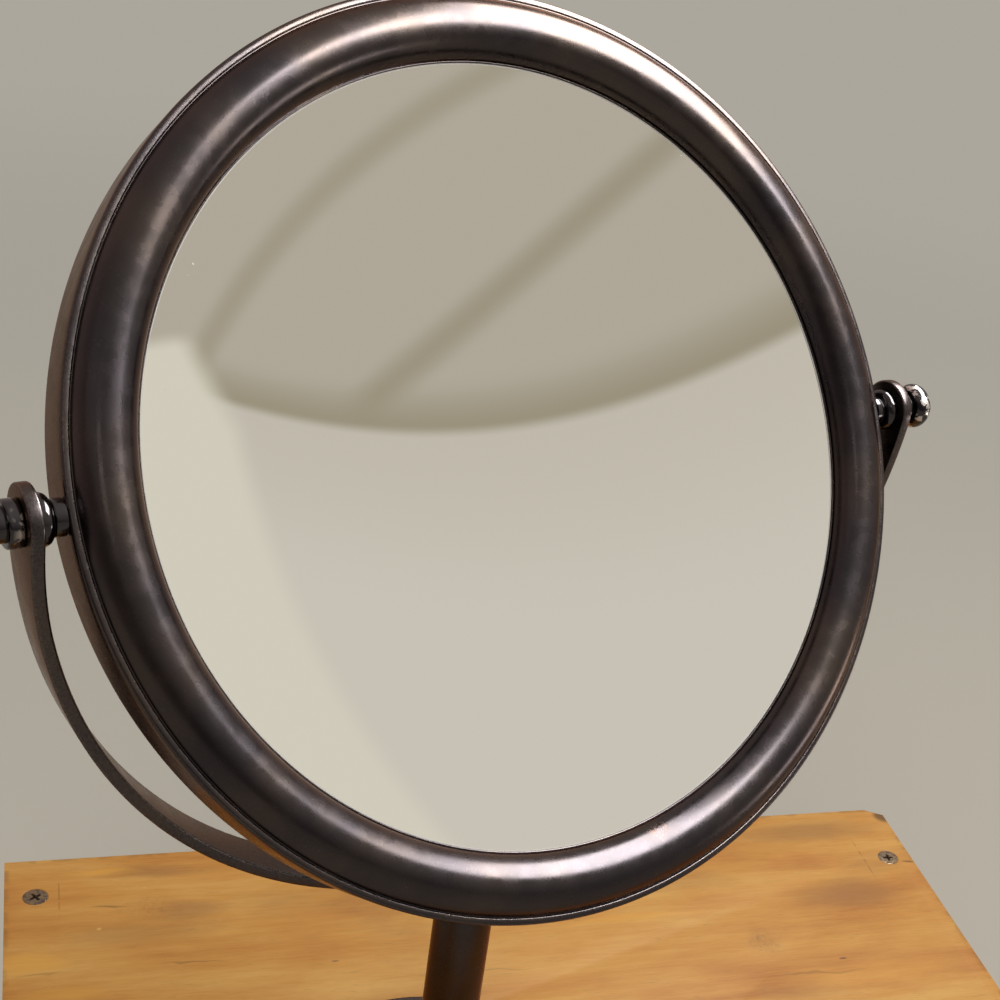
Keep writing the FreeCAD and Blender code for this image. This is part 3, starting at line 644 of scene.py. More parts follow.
@dataclass(frozen=True)
class PineFinish:
    """Golden amber varnished pine, with its grain along one axis."""

    name: str = "amber_pine"
    board: str = "top_board"
    grain: GrainAxis = GrainAxis.X
    seed: float = 0.0
    marks: tuple[Mark, ...] = ()
    deep: Colour = (0.44, 0.170, 0.034)
    amber: Colour = (0.56, 0.262, 0.058)
    pale: Colour = (0.65, 0.360, 0.100)
    dirt: Colour = (0.10, 0.045, 0.017)
    smoke: Colour = (0.27, 0.125, 0.045)
    glow: Colour = (0.74, 0.37, 0.065)
    roughness: float = 0.42
    bands: float = 17 * MM
    clouds: float = 24 * MM
    streaks: float = 3.0 * MM
    fibres: float = 0.55 * MM
    wander: Pair = (70 * MM, 14 * MM)
    soot: float = 40 * MM
    wear: Pair = (0.4 * MM, 2.2 * MM)
    relief: float = 0.08 * MM

    def stretch(self, along: float) -> Triple:
        """Give the scale that draws a pattern out along the grain.

        Args:
            along: Scale along the grain.

        Returns:
            Scale along each axis.
        """
        scale = [1.0, 1.0, 1.0]
        scale[self.grain.value] = along
        return (scale[0], scale[1], scale[2])

    def wavy(self, sheet: Shading, place: Socket, size: float, reach: float) -> Socket:
        """Bend a place to and fro, so that straight patterns wander.

        Args:
            sheet: The material's nodes.
            place: Coordinates.
            size: Length of the bends.
            reach: How far a place is moved.

        Returns:
            The moved coordinates.
        """
        shake = sheet.add("ShaderNodeTexNoise")
        sheet.put(shake.inputs["Vector"], sheet.mapped(place, scale=self.stretch(0.4)))
        shake.inputs["Scale"].default_value = 1.0 / size
        shake.inputs["Detail"].default_value = 2.0
        shift = sheet.mapped(shake.outputs["Color"], offset=(-reach / 2,) * 3, scale=(reach,) * 3)
        total = sheet.add("ShaderNodeVectorMath", operation="ADD")
        sheet.put(total.inputs[0], place)
        sheet.put(total.inputs[1], shift)
        return total.outputs[0]

    def end_grain(self, sheet: Shading) -> Socket:
        """Give 1 on the faces that are cut across the grain."""
        share = sheet.math("ABSOLUTE", sheet.parts(sheet.facing())[self.grain.value])
        return sheet.remap(share, 0.75, 0.95)

    def edge_wear(self, sheet: Shading, place: Socket) -> Socket:
        """Give 1 along the board's edges, fading to 0 a few millimetres in.

        Args:
            sheet: The material's nodes.
            place: Object coordinates.

        Returns:
            The share, from 0 to 1.
        """
        low, high, size = span(self.board)
        middle = (low + high) / 2
        centred = sheet.add("ShaderNodeVectorMath", operation="ABSOLUTE")
        sheet.put(centred.inputs[0], sheet.mapped(place, offset=tuple(-middle)))
        depths = [sheet.math("SUBTRACT", half, part)
                  for half, part in zip(size / 2, sheet.parts(centred.outputs[0]))]
        total = sheet.math("ADD", sheet.math("ADD", depths[0], depths[1]), depths[2])
        least = sheet.math("MINIMUM", sheet.math("MINIMUM", depths[0], depths[1]), depths[2])
        most = sheet.math("MAXIMUM", sheet.math("MAXIMUM", depths[0], depths[1]), depths[2])
        second = sheet.math("SUBTRACT", sheet.math("SUBTRACT", total, least), most)
        return sheet.remap(second, *self.wear, 1.0, 0.0)

    def nearness(self, sheet: Shading, place: Socket, mark: Mark) -> Socket:
        """Give the distance from a mark's middle, counted in its reaches.

        Args:
            sheet: The material's nodes.
            place: Coordinates.
            mark: The mark.

        Returns:
            The distance, which is 1 at the mark's end.
        """
        scale = (1.0 / mark.reach_x, 1.0 / mark.reach_y, 0.0)
        offset = (-mark.x / mark.reach_x, -mark.y / mark.reach_y, 0.0)
        return sheet.length(sheet.mapped(place, offset=offset, scale=scale))

    def make(self) -> Material:
        """Build the material.

        Returns:
            The material.
        """
        sheet = Shading(self.name)
        place = sheet.place()
        start = sheet.mapped(place, offset=(self.seed * 1.7, self.seed * 0.9, self.seed * 1.3))
        bent = self.wavy(sheet, start, *self.wander)
        broad = sheet.noise(sheet.mapped(bent, scale=self.stretch(0.16)), self.bands, 2.0, 0.5)
        streak = sheet.noise(sheet.mapped(bent, scale=self.stretch(0.05)), self.streaks, 4.0, 0.6)
        fine = sheet.noise(sheet.mapped(start, scale=self.stretch(0.07)), self.fibres, 3.0, 0.6)
        cloud = sheet.noise(sheet.mapped(bent, scale=self.stretch(0.45)), self.clouds, 3.0, 0.55)
        tone = sheet.math("MULTIPLY", broad, 0.35)
        for part, share in ((cloud, 0.3), (streak, 0.17), (fine, 0.18)):
            tone = sheet.math("ADD", tone, sheet.math("MULTIPLY", part, share))
        colour = sheet.ramp(tone, ((0.38, self.deep), (0.50, self.amber), (0.62, self.pale)))
        soot = sheet.noise(sheet.mapped(bent, scale=self.stretch(0.4)), self.soot, 4.0, 0.6)
        colour = sheet.blend(sheet.remap(soot, 0.54, 0.74, 0.0, 0.5), colour, self.smoke)
        pores = sheet.remap(fine, 0.60, 0.72, 0.0, 0.28)
        colour = sheet.blend(pores, colour, self.dirt)
        height = sheet.math("ADD", sheet.math("MULTIPLY", streak, 0.5),
                            sheet.math("MULTIPLY", fine, 0.25))
        if self.marks:
            ragged = self.wavy(sheet, place, 7 * MM, 7 * MM)
            for mark in self.marks:
                colour, height = self.add_mark(sheet, place, ragged, mark, colour, height)
        end = self.end_grain(sheet)
        colour = sheet.blend(sheet.math("MULTIPLY", end, 0.5), colour, self.deep)
        wear = sheet.math("MULTIPLY", self.edge_wear(sheet, place),
                          sheet.remap(sheet.noise(place, 6 * MM, 4.0), 0.40, 0.62))
        colour = sheet.blend(sheet.math("MULTIPLY", wear, 0.3), colour, self.dirt)
        gloss = sheet.remap(broad, 0.3, 0.7, self.roughness + 0.08, self.roughness - 0.05)
        return sheet.set(colour=colour, roughness=gloss, specular=0.2,
                         normal=sheet.bump(height, self.relief, 0.7))

    def add_mark(self, sheet: Shading, place: Socket, ragged: Socket, mark: Mark, colour: Socket,
                 height: Socket) -> tuple[Socket, Socket]:
        """Lay one mark over the board's colour and relief.

        Args:
            sheet: The material's nodes.
            place: Object coordinates.
            ragged: Object coordinates, bent to and fro.
            mark: The mark.
            colour: The colour so far.
            height: The relief so far.

        Returns:
            The new colour and the new relief.
        """
        crisp = mark.kind in (MarkKind.DENT, MarkKind.NICK, MarkKind.PENCIL)
        away = self.nearness(sheet, place if crisp else ragged, mark)
        tint = {MarkKind.SMOKE: self.smoke, MarkKind.GLOW: self.glow, MarkKind.NICK: self.pale,
                MarkKind.KNOT: self.smoke}.get(mark.kind, self.dirt)
        share = sheet.remap(away, 0.45 if crisp else 0.2, 1.0, 1.0, 0.0)
        if mark.kind is MarkKind.KNOT:
            veins = sheet.math("SUBTRACT", sheet.noise(ragged, 3.2 * MM, 1.0, 0.5, 1.5), 0.5)
            veins = sheet.remap(sheet.math("ABSOLUTE", veins), 0.0, 0.05, 1.0, 0.25)
            share = sheet.math("MULTIPLY", share, veins)
        elif mark.kind is MarkKind.PENCIL:
            faint = sheet.remap(sheet.noise(place, 3 * MM, 3.0), 0.40, 0.55)
            share = sheet.math("MULTIPLY", share, faint)
        elif mark.kind is MarkKind.DENT:
            height = sheet.math("SUBTRACT", height, sheet.math("MULTIPLY", share, 2.0))
        return sheet.blend(sheet.math("MULTIPLY", share, mark.strength), colour, tint), height


@dataclass(frozen=True)
class FeltFinish:
    """Short, dense felt."""

    name: str = "felt"
    dark: Colour = (0.030, 0.050, 0.034)
    light: Colour = (0.075, 0.110, 0.072)
    fibre: float = 0.5 * MM
    nap: float = 0.25 * MM

    def make(self) -> Material:
        """Build the material.

        Returns:
            The material.
        """
        sheet = Shading(self.name)
        place = sheet.place()
        fibre = sheet.noise(place, self.fibre, 4.0, 0.7, 1.2)
        cloud = sheet.noise(place, 14 * MM, 2.0)
        tone = sheet.math("ADD", sheet.math("MULTIPLY", fibre, 0.7),
                          sheet.math("MULTIPLY", cloud, 0.3))
        return sheet.set(colour=sheet.ramp(tone, ((0.35, self.dark), (0.65, self.light))),
                         roughness=0.95, sheen=0.35, sheen_roughness=0.5, specular=0.2,
                         normal=sheet.bump(fibre, self.nap, 0.8))


@dataclass(frozen=True)
class MouldedFinish:
    """Plain moulded plastic or rubber."""

    name: str
    shade: Colour
    roughness: float

    def make(self) -> Material:
        """Build the material.

        Returns:
            The material.
        """
        sheet = Shading(self.name)
        grain = sheet.noise(sheet.place(), 0.4 * MM, 2.0)
        tone = sheet.remap(grain, 0.3, 0.7, 0.0, 0.25)
        lighter = tuple(1.6 * part for part in self.shade)
        return sheet.set(colour=sheet.blend(tone, self.shade, lighter), roughness=self.roughness,
                         normal=sheet.bump(grain, 0.03 * MM, 0.5))


# ---- turned pieces ----

@dataclass
class Outline:
    """Outline of a turned piece: (radius, level, edge) points, in metres.

    The edge value is 1 where the finish wears through first.
    """

    points: list[Triple] = field(default_factory=list)

    def go(self, *places: Pair, edge: float = 0.0) -> "Outline":
        """Add straight runs through (radius, level) places."""
        self.points += [(radius, level, edge) for radius, level in places]
        return self

    def bow(self, middle: Pair, end: Pair, steps: int = 24,
            edge: float = 0.0) -> "Outline":
        """Add an arc from the last point through a middle place to an end.

        Args:
            middle: A place on the arc.
            end: The arc's end.
            steps: Number of runs in it.
            edge: Wear along it.

        Returns:
            The outline itself.
        """
        start = Vector(self.points[-1][:2])
        through, last = Vector(middle), Vector(end)
        centre = circle_centre(start, through, last)
        radius = (start - centre).length
        first, mid, final = (math.atan2(spot.y - centre.y, spot.x - centre.x)
                             for spot in (start, through, last))
        sweep = (final - first) % math.tau
        if (mid - first) % math.tau > sweep:
            sweep -= math.tau
        for step in range(1, steps + 1):
            angle = first + sweep * step / steps
            self.points.append((max(0.0, centre.x + radius * math.cos(angle)),
                                centre.y + radius * math.sin(angle), edge))
        return self

    def round(self, corner: Pair, following: Pair, size: float, steps: int = 5,
              edge: float = 1.0) -> "Outline":
        """Add a rounded corner between the last point and the place that follows.

        Args:
            corner: The sharp corner.
            following: The place that the outline runs to after it.
            size: Radius of the rounding.
            steps: Number of runs in it.
            edge: Wear on the rounding.

        Returns:
            The outline itself.
        """
        here = Vector(corner)
        back = (Vector(self.points[-1][:2]) - here).normalized()
        onward = (Vector(following) - here).normalized()
        half = back.angle(onward) / 2
        cut = size / math.tan(half)
        middle = here + (back + onward).normalized() * (size / math.sin(half) - size)
        self.go(tuple(here + back * cut))
        return self.bow(tuple(middle), tuple(here + onward * cut), steps, edge)

    def dome(self, crown: float, steps: int = 24, edge: float = 0.0) -> "Outline":
        """Add a dome or dish from the last point to its crown on the axis.

        Args:
            crown: Level of the crown.
            steps: Number of runs in it.
            edge: Wear along it.

        Returns:
            The outline itself.
        """
        radius, level = self.points[-1][:2]
        rise = crown - level
        sphere = (radius ** 2 + rise ** 2) / (2 * abs(rise))
        height = math.sqrt(sphere ** 2 - (radius / 2) ** 2) - sphere + abs(rise)
        middle = (radius / 2, level + math.copysign(height, rise))
        return self.bow(middle, (0.0, crown), steps, edge)


def circle_centre(first: Vector, second: Vector, third: Vector) -> Vector:
    """Give the centre of the circle through three flat points.

    Args:
        first: First point.
        second: Second point.
        third: Third point.

    Returns:
        The centre.
    """
    span_a, span_b = second - first, third - first
    cross = 2 * (span_a.x * span_b.y - span_a.y * span_b.x)
    square_a, square_b = span_a.length_squared, span_b.length_squared
    return first + Vector(((span_b.y * square_a - span_a.y * square_b) / cross,
                           (span_a.x * square_b - span_b.x * square_a) / cross))


class Tree(Sheet):
    """A Geometry Nodes tree with named inputs."""

    def __init__(self, name: str, inputs: dict[str, str]) -> None:
        """Make the tree.

        Args:
            name: The tree's name.
            inputs: Socket type of each named input, after the geometry.
        """
        super().__init__(bpy.data.node_groups.new(name, "GeometryNodeTree"))
        face = self.tree.interface
        face.new_socket("Geometry", in_out="INPUT", socket_type="NodeSocketGeometry")
        for label, kind in inputs.items():
            face.new_socket(label, in_out="INPUT", socket_type=kind)
        face.new_socket("Geometry", in_out="OUTPUT", socket_type="NodeSocketGeometry")
        self.start = self.add("NodeGroupInput").outputs
        self.end = self.add("NodeGroupOutput").inputs

    def finish(self, geometry: Socket) -> None:
        """End the tree in real geometry that carries its material.

        Args:
            geometry: What the tree has made.
        """
        real = self.add("GeometryNodeRealizeInstances")
        self.put(real.inputs["Geometry"], geometry)
        dress = self.add("GeometryNodeSetMaterial")
        self.put(dress.inputs["Geometry"], real.outputs["Geometry"])
        self.put(dress.inputs["Material"], self.start["Finish"])
        self.put(self.end["Geometry"], dress.outputs["Geometry"])

    def run(self, mesh: Mesh, **values: Any) -> Mesh:
        """Run the tree on a mesh.

        Args:
            mesh: The mesh that goes in.
            **values: Value of each named input, with underscores for spaces.

        Returns:
            The plain mesh that comes out.
        """
        carrier = in_scene("carrier", mesh)
        modifier = carrier.modifiers.new("nodes", "NODES")
        modifier.node_group = self.tree
        keys = {item.name: item.identifier for item in self.tree.interface.items_tree
                if item.in_out == "INPUT"}
        for label, value in values.items():
            modifier[keys[label.replace("_", " ")]] = value
        made = evaluated_mesh(carrier)
        bpy.data.objects.remove(carrier)
        return made


def evaluated_mesh(thing: Thing) -> Mesh:
    """Give an object's mesh with its modifiers applied.

    Args:
        thing: The object.

    Returns:
        A plain mesh of its own.
    """
    bpy.context.view_layer.update()
    graph = bpy.context.evaluated_depsgraph_get()
    return bpy.data.meshes.new_from_object(thing.evaluated_get(graph), depsgraph=graph)


class Lathe:
    """Turns outlines about Z with a Geometry Nodes tree."""

    def __init__(self) -> None:
        """Build the tree: the outline is swept round a circle and its poles are closed."""
        tree = Tree("turned_piece", {"Turning Radius": "NodeSocketFloat",
                                     "Steps": "NodeSocketInt", "Finish": "NodeSocketMaterial"})
        outline = tree.add("GeometryNodeMeshToCurve")
        tree.put(outline.inputs["Mesh"], tree.start["Geometry"])
        ring = tree.add("GeometryNodeCurvePrimitiveCircle")
        tree.put(ring.inputs["Radius"], tree.start["Turning Radius"])
        tree.put(ring.inputs["Resolution"], tree.start["Steps"])
        sweep = tree.add("GeometryNodeCurveToMesh")
        tree.put(sweep.inputs["Curve"], ring.outputs["Curve"])
        tree.put(sweep.inputs["Profile Curve"], outline.outputs["Curve"])
        weld = tree.add("GeometryNodeMergeByDistance")
        tree.put(weld.inputs["Geometry"], sweep.outputs["Mesh"])
        weld.inputs["Distance"].default_value = 0.001 * MM
        tree.finish(weld.outputs["Geometry"])
        self.tree = tree

    def turn(self, outline: Outline, finish: Material, steps: int = TURN_STEPS) -> Mesh:
        """Turn an outline into a closed mesh.

        Args:
            outline: The outline. It is a ring, or it starts and ends on the axis.
            finish: The material.
            steps: Number of steps round the piece.

        Returns:
            The turned mesh, about Z.
        """
        reach = max(point[0] for point in outline.points)
        on_axis = max(outline.points[0][0], outline.points[-1][0]) < ON_AXIS
        count = len(outline.points)
        runs = [(number, number + 1) for number in range(count - 1)]
        if not on_axis:
            runs.append((count - 1, 0))
        mesh = bpy.data.meshes.new("outline")
        corners = [(radius - reach, -level, 0.0) for radius, level, _ in outline.points]
        mesh.from_pydata(corners, runs, [])
        edge = mesh.attributes.new("edge", "FLOAT", "POINT")
        edge.data.foreach_set("value", [point[2] for point in outline.points])
        return tidy_mesh(self.tree.run(mesh, Turning_Radius=reach, Steps=steps, Finish=finish))


def tidy_mesh(mesh: Mesh, crease: float = 38.0) -> Mesh:
    """Weld a mesh, turn its faces outwards and shade it smooth between creases.

    Args:
        mesh: The mesh.
        crease: Angle in degrees past which an edge stays sharp.

    Returns:
        The same mesh.
    """
    work = bmesh.new()
    work.from_mesh(mesh)
    bmesh.ops.remove_doubles(work, verts=work.verts, dist=0.0005 * MM)
    bmesh.ops.dissolve_degenerate(work, edges=work.edges, dist=0.0001 * MM)
    bmesh.ops.recalc_face_normals(work, faces=work.faces)
    work.to_mesh(mesh)
    work.free()
    mesh.shade_smooth()
    mesh.set_sharp_from_angle(angle=math.radians(crease))
    return mesh


def show(name: str, mesh: Mesh, body: str, stands_for: Sequence[str],
         finish: Optional[Material] = None, place: Optional[Matrix] = None) -> Thing:
    """Put a finished mesh into the scene as a piece.

    Args:
        name: The piece's name.
        mesh: Its mesh.
        body: The body that it rides on.
        stands_for: The nodes that it stands for.
        finish: Its material, where the mesh has none yet.
        place: Placing that goes into the mesh.

    Returns:
        The piece, at the origin.
    """
    mesh.name = name
    if place is not None:
        mesh.transform(place)
    if finish is not None:
        mesh.materials.clear()
        mesh.materials.append(finish)
    piece = in_scene(name, mesh)
    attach(piece, body)
    if stands_for:
        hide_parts(*stands_for)
    log.info("%s: %d faces on %s", name, len(mesh.polygons), body)
    return piece


def dress(finish: Material, *nodes: str) -> None:
    """Give a finish to nodes whose own shape is shown.

    Args:
        finish: The material.
        *nodes: The nodes' names.
    """
    for node in nodes:
        materials = frame["nodes"][node].data.materials
        materials.clear()
        materials.append(finish)
        log.info("%s: dressed in %s", node, finish.name)


# ---- fasteners ----

class HeadKind(Enum):
    """Shape of a screw head."""

    FLAT = "flat"
    PAN = "pan"
    NAIL = "nail"


@dataclass(frozen=True)
class Head:
    """Head of a screw or nail, with +Z out of the face that it sits in."""

    kind: HeadKind
    radius: float
    depth: float
    shank: float = 2.0 * MM
    recess_length: float = 4.6 * MM
    recess_width: float = 1.05 * MM
    recess_depth: float = 1.9 * MM
    sunk: float = 0.12 * MM
    flat_round: float = 0.15 * MM
    pan_round: float = 0.2 * MM
    clear: float = 0.5 * MM

    def outline(self) -> Outline:
        """Give the head's outline, sunk for a flat head and raised for a pan head.

        Returns:
            The outline, about Z.
        """
        if self.kind is HeadKind.PAN:
            shape = Outline().go((0.0, 0.0))
            shape.round((self.radius, 0.0), (self.radius, self.depth), self.pan_round)
            shape.go((self.radius, self.depth * 0.3))
            return shape.dome(self.depth)
        shape = Outline().go((0.0, -self.depth), (self.shank, -self.depth))
        shape.round((self.radius, -self.sunk), (0.0, -self.sunk), self.flat_round)
        return shape.go((0.0, -self.sunk))

    def recess(self) -> Mesh:
        """Give the cross that a screwdriver fits, narrower towards its bottom.

        Returns:
            The mesh that is cut out of the head.
        """
        work = bmesh.new()
        top = self.clear + (self.depth if self.kind is HeadKind.PAN else 0.0)
        low = top - self.clear - self.recess_depth
        for turn in (0.0, math.pi / 2):
            box = bmesh.ops.create_cube(work, size=1.0)["verts"]
            for corner in box:
                upper = corner.co.z > 0
                length = self.recess_length * (1.0 if upper else 0.45)
                width = self.recess_width * (1.0 if upper else 0.7)
                corner.co = Vector((corner.co.x * length, corner.co.y * width,
                                    top if upper else low))
            bmesh.ops.rotate(work, verts=box, cent=(0, 0, 0),
                             matrix=Matrix.Rotation(turn, 3, "Z"))
        mesh = bpy.data.meshes.new("recess")
        work.to_mesh(mesh)
        work.free()
        return mesh

    def make(self, lathe: Lathe, finish: Material) -> Mesh:
        """Turn the head and cut its recess.

        Args:
            lathe: The lathe.
            finish: The material.

        Returns:
            The finished head.
        """
        mesh = lathe.turn(self.outline(), finish, SCREW_STEPS)
        if self.kind is HeadKind.NAIL:
            return mesh
        return carved(mesh, self.recess())


def carved(mesh: Mesh, cutter: Mesh) -> Mesh:
    """Cut one mesh out of another.

    Args:
        mesh: The mesh that is cut.
        cutter: The mesh that is taken away.

    Returns:
        The cut mesh.
    """
    body, tool = in_scene("cut_body", mesh), in_scene("cut_tool", cutter)
    modifier = body.modifiers.new("cut", "BOOLEAN")
    modifier.operation = "DIFFERENCE"
    modifier.solver = "EXACT"
    modifier.use_self = True
    modifier.object = tool
    made = evaluated_mesh(body)
    bpy.data.objects.remove(body)
    bpy.data.objects.remove(tool)
    return tidy_mesh(made)


class Fasteners:
    """Sets copies of a head at places on the object with a Geometry Nodes tree."""

    def __init__(self, lathe: Lathe) -> None:
        """Build the tree: heads on points, faced outwards and each turned at random.

        Args:
            lathe: The lathe that turns the heads.
        """
        tree = Tree("fastener_row", {"Head": "NodeSocketObject", "Seed": "NodeSocketInt",
                                     "Finish": "NodeSocketMaterial"})
        head = tree.add("GeometryNodeObjectInfo")
        tree.put(head.inputs["Object"], tree.start["Head"])
        facing = tree.add("GeometryNodeInputNamedAttribute", data_type="FLOAT_VECTOR")
        facing.inputs["Name"].default_value = "facing"
        aim = tree.add("FunctionNodeAlignRotationToVector", axis="Z")
        tree.put(aim.inputs["Vector"], facing.outputs["Attribute"])
        copies = tree.add("GeometryNodeInstanceOnPoints")
        tree.put(copies.inputs["Points"], tree.start["Geometry"])
        tree.put(copies.inputs["Instance"], head.outputs["Geometry"])
        tree.put(copies.inputs["Rotation"], aim.outputs["Rotation"])
        chance = tree.add("FunctionNodeRandomValue", data_type="FLOAT")
        tree.put(chance.inputs["Seed"], tree.start["Seed"])
        floats = [socket for socket in chance.inputs if socket.type == "VALUE"]
        floats[0].default_value = 0.0
        floats[1].default_value = math.pi / 2
        angles = tree.add("ShaderNodeCombineXYZ")
        values = [socket for socket in chance.outputs if socket.type == "VALUE"]
        tree.put(angles.inputs["Z"], values[0])
        spin = tree.add("GeometryNodeRotateInstances")
        tree.put(spin.inputs["Instances"], copies.outputs["Instances"])
        tree.put(spin.inputs["Rotation"], angles.outputs["Vector"])
        tree.finish(spin.outputs["Instances"])
        self.tree = tree
        self.lathe = lathe

    def row(self, head: Head, places: Sequence[tuple[Vector, Vector]], finish: Material,
            seed: int) -> Mesh:
        """Set a head at each (position, facing) place.

        Args:
            head: The head.
            places: Where each head sits, and the way it faces.
            finish: The material.
            seed: Seed for how each head is turned.

        Returns:
            One mesh of all the heads.
        """
        pattern = bpy.data.objects.new("head", head.make(self.lathe, finish))
        points = bpy.data.meshes.new("places")
        points.from_pydata([tuple(position) for position, _ in places], [], [])
        facing = points.attributes.new("facing", "FLOAT_VECTOR", "POINT")
        facing.data.foreach_set("vector", [value for _, way in places for value in way])
        made = self.tree.run(points, Head=pattern, Seed=seed, Finish=finish)
        bpy.data.objects.remove(pattern)
        return tidy_mesh(made)


@dataclass(frozen=True)
class Workshop:
    """Tools and finishes that the sub-assemblies share."""

    lathe: Lathe
    fasteners: Fasteners
    bronze: Material
    nickel: Material
    steel: Material
    silver: Material
    felt: Material


# ---- wooden boards ----

@dataclass(frozen=True)
class Chip:
    """Broken corner: a flat cut through the board's corner."""

    corner: Triple
    reach: Triple


def softened(node: str, width: float, chips: Sequence[Chip] = ()) -> Mesh:
    """Copy a board's solid, break its corners where asked and soften its edges.

    Args:
        node: The board's node.
        width: Width of the softened edge.
        chips: Corners that are broken off.

    Returns:
        The mesh.
    """
    work = bmesh.new()
    work.from_mesh(frame["nodes"][node].data)
    bmesh.ops.remove_doubles(work, verts=work.verts, dist=0.01 * MM)
    bmesh.ops.dissolve_limit(work, angle_limit=math.radians(1.0), verts=work.verts,
                             edges=work.edges)
    for chip in chips:
        corner, reach = Vector(chip.corner), Vector(chip.reach)
        ends = [corner + Vector([reach[axis] if axis == number else 0.0 for axis in range(3)])
                for number in range(3)]
        normal = (ends[1] - ends[0]).cross(ends[2] - ends[0]).normalized()
        if normal.dot(corner - ends[0]) < 0:
            normal.negate()
        cut = bmesh.ops.bisect_plane(work, geom=work.verts[:] + work.edges[:] + work.faces[:],
                                     plane_co=ends[0], plane_no=normal, clear_outer=True)
        bmesh.ops.contextual_create(work, geom=[part for part in cut["geom_cut"]
                                                if isinstance(part, bmesh.types.BMEdge)])
    sharp = [edge for edge in work.edges
             if len(edge.link_faces) == 2 and edge.calc_face_angle(0.0) > math.radians(35)]
    bmesh.ops.bevel(work, geom=sharp, offset=width, segments=3, profile=0.5, affect="EDGES",
                    clamp_overlap=True)
    bmesh.ops.triangulate(work, faces=[face for face in work.faces if len(face.verts) > 4])
    mesh = bpy.data.meshes.new(node)
    work.to_mesh(mesh)
    work.free()
    mesh.shade_smooth()
    mesh.set_sharp_from_angle(angle=math.radians(30))
    return mesh


def felt_pad(node: str) -> Mesh:
    """Make a thin felt sheet that fills a node's box, with softly rounded edges.

    Args:
        node: The felt's node.

    Returns:
        The mesh.
    """
    low, _, size = span(node)
    work = bmesh.new()
    bmesh.ops.create_cube(work, size=1.0)
    for corner in work.verts:
        corner.co = Vector([low[axis] + size[axis] * (corner.co[axis] + 0.5)
                            for axis in range(3)])
    bmesh.ops.bevel(work, geom=work.edges[:], offset=size.z * 0.4, segments=3, profile=0.5,
                    affect="EDGES")
    mesh = bpy.data.meshes.new(node)
    work.to_mesh(mesh)
    work.free()
    return tidy_mesh(mesh, 60)


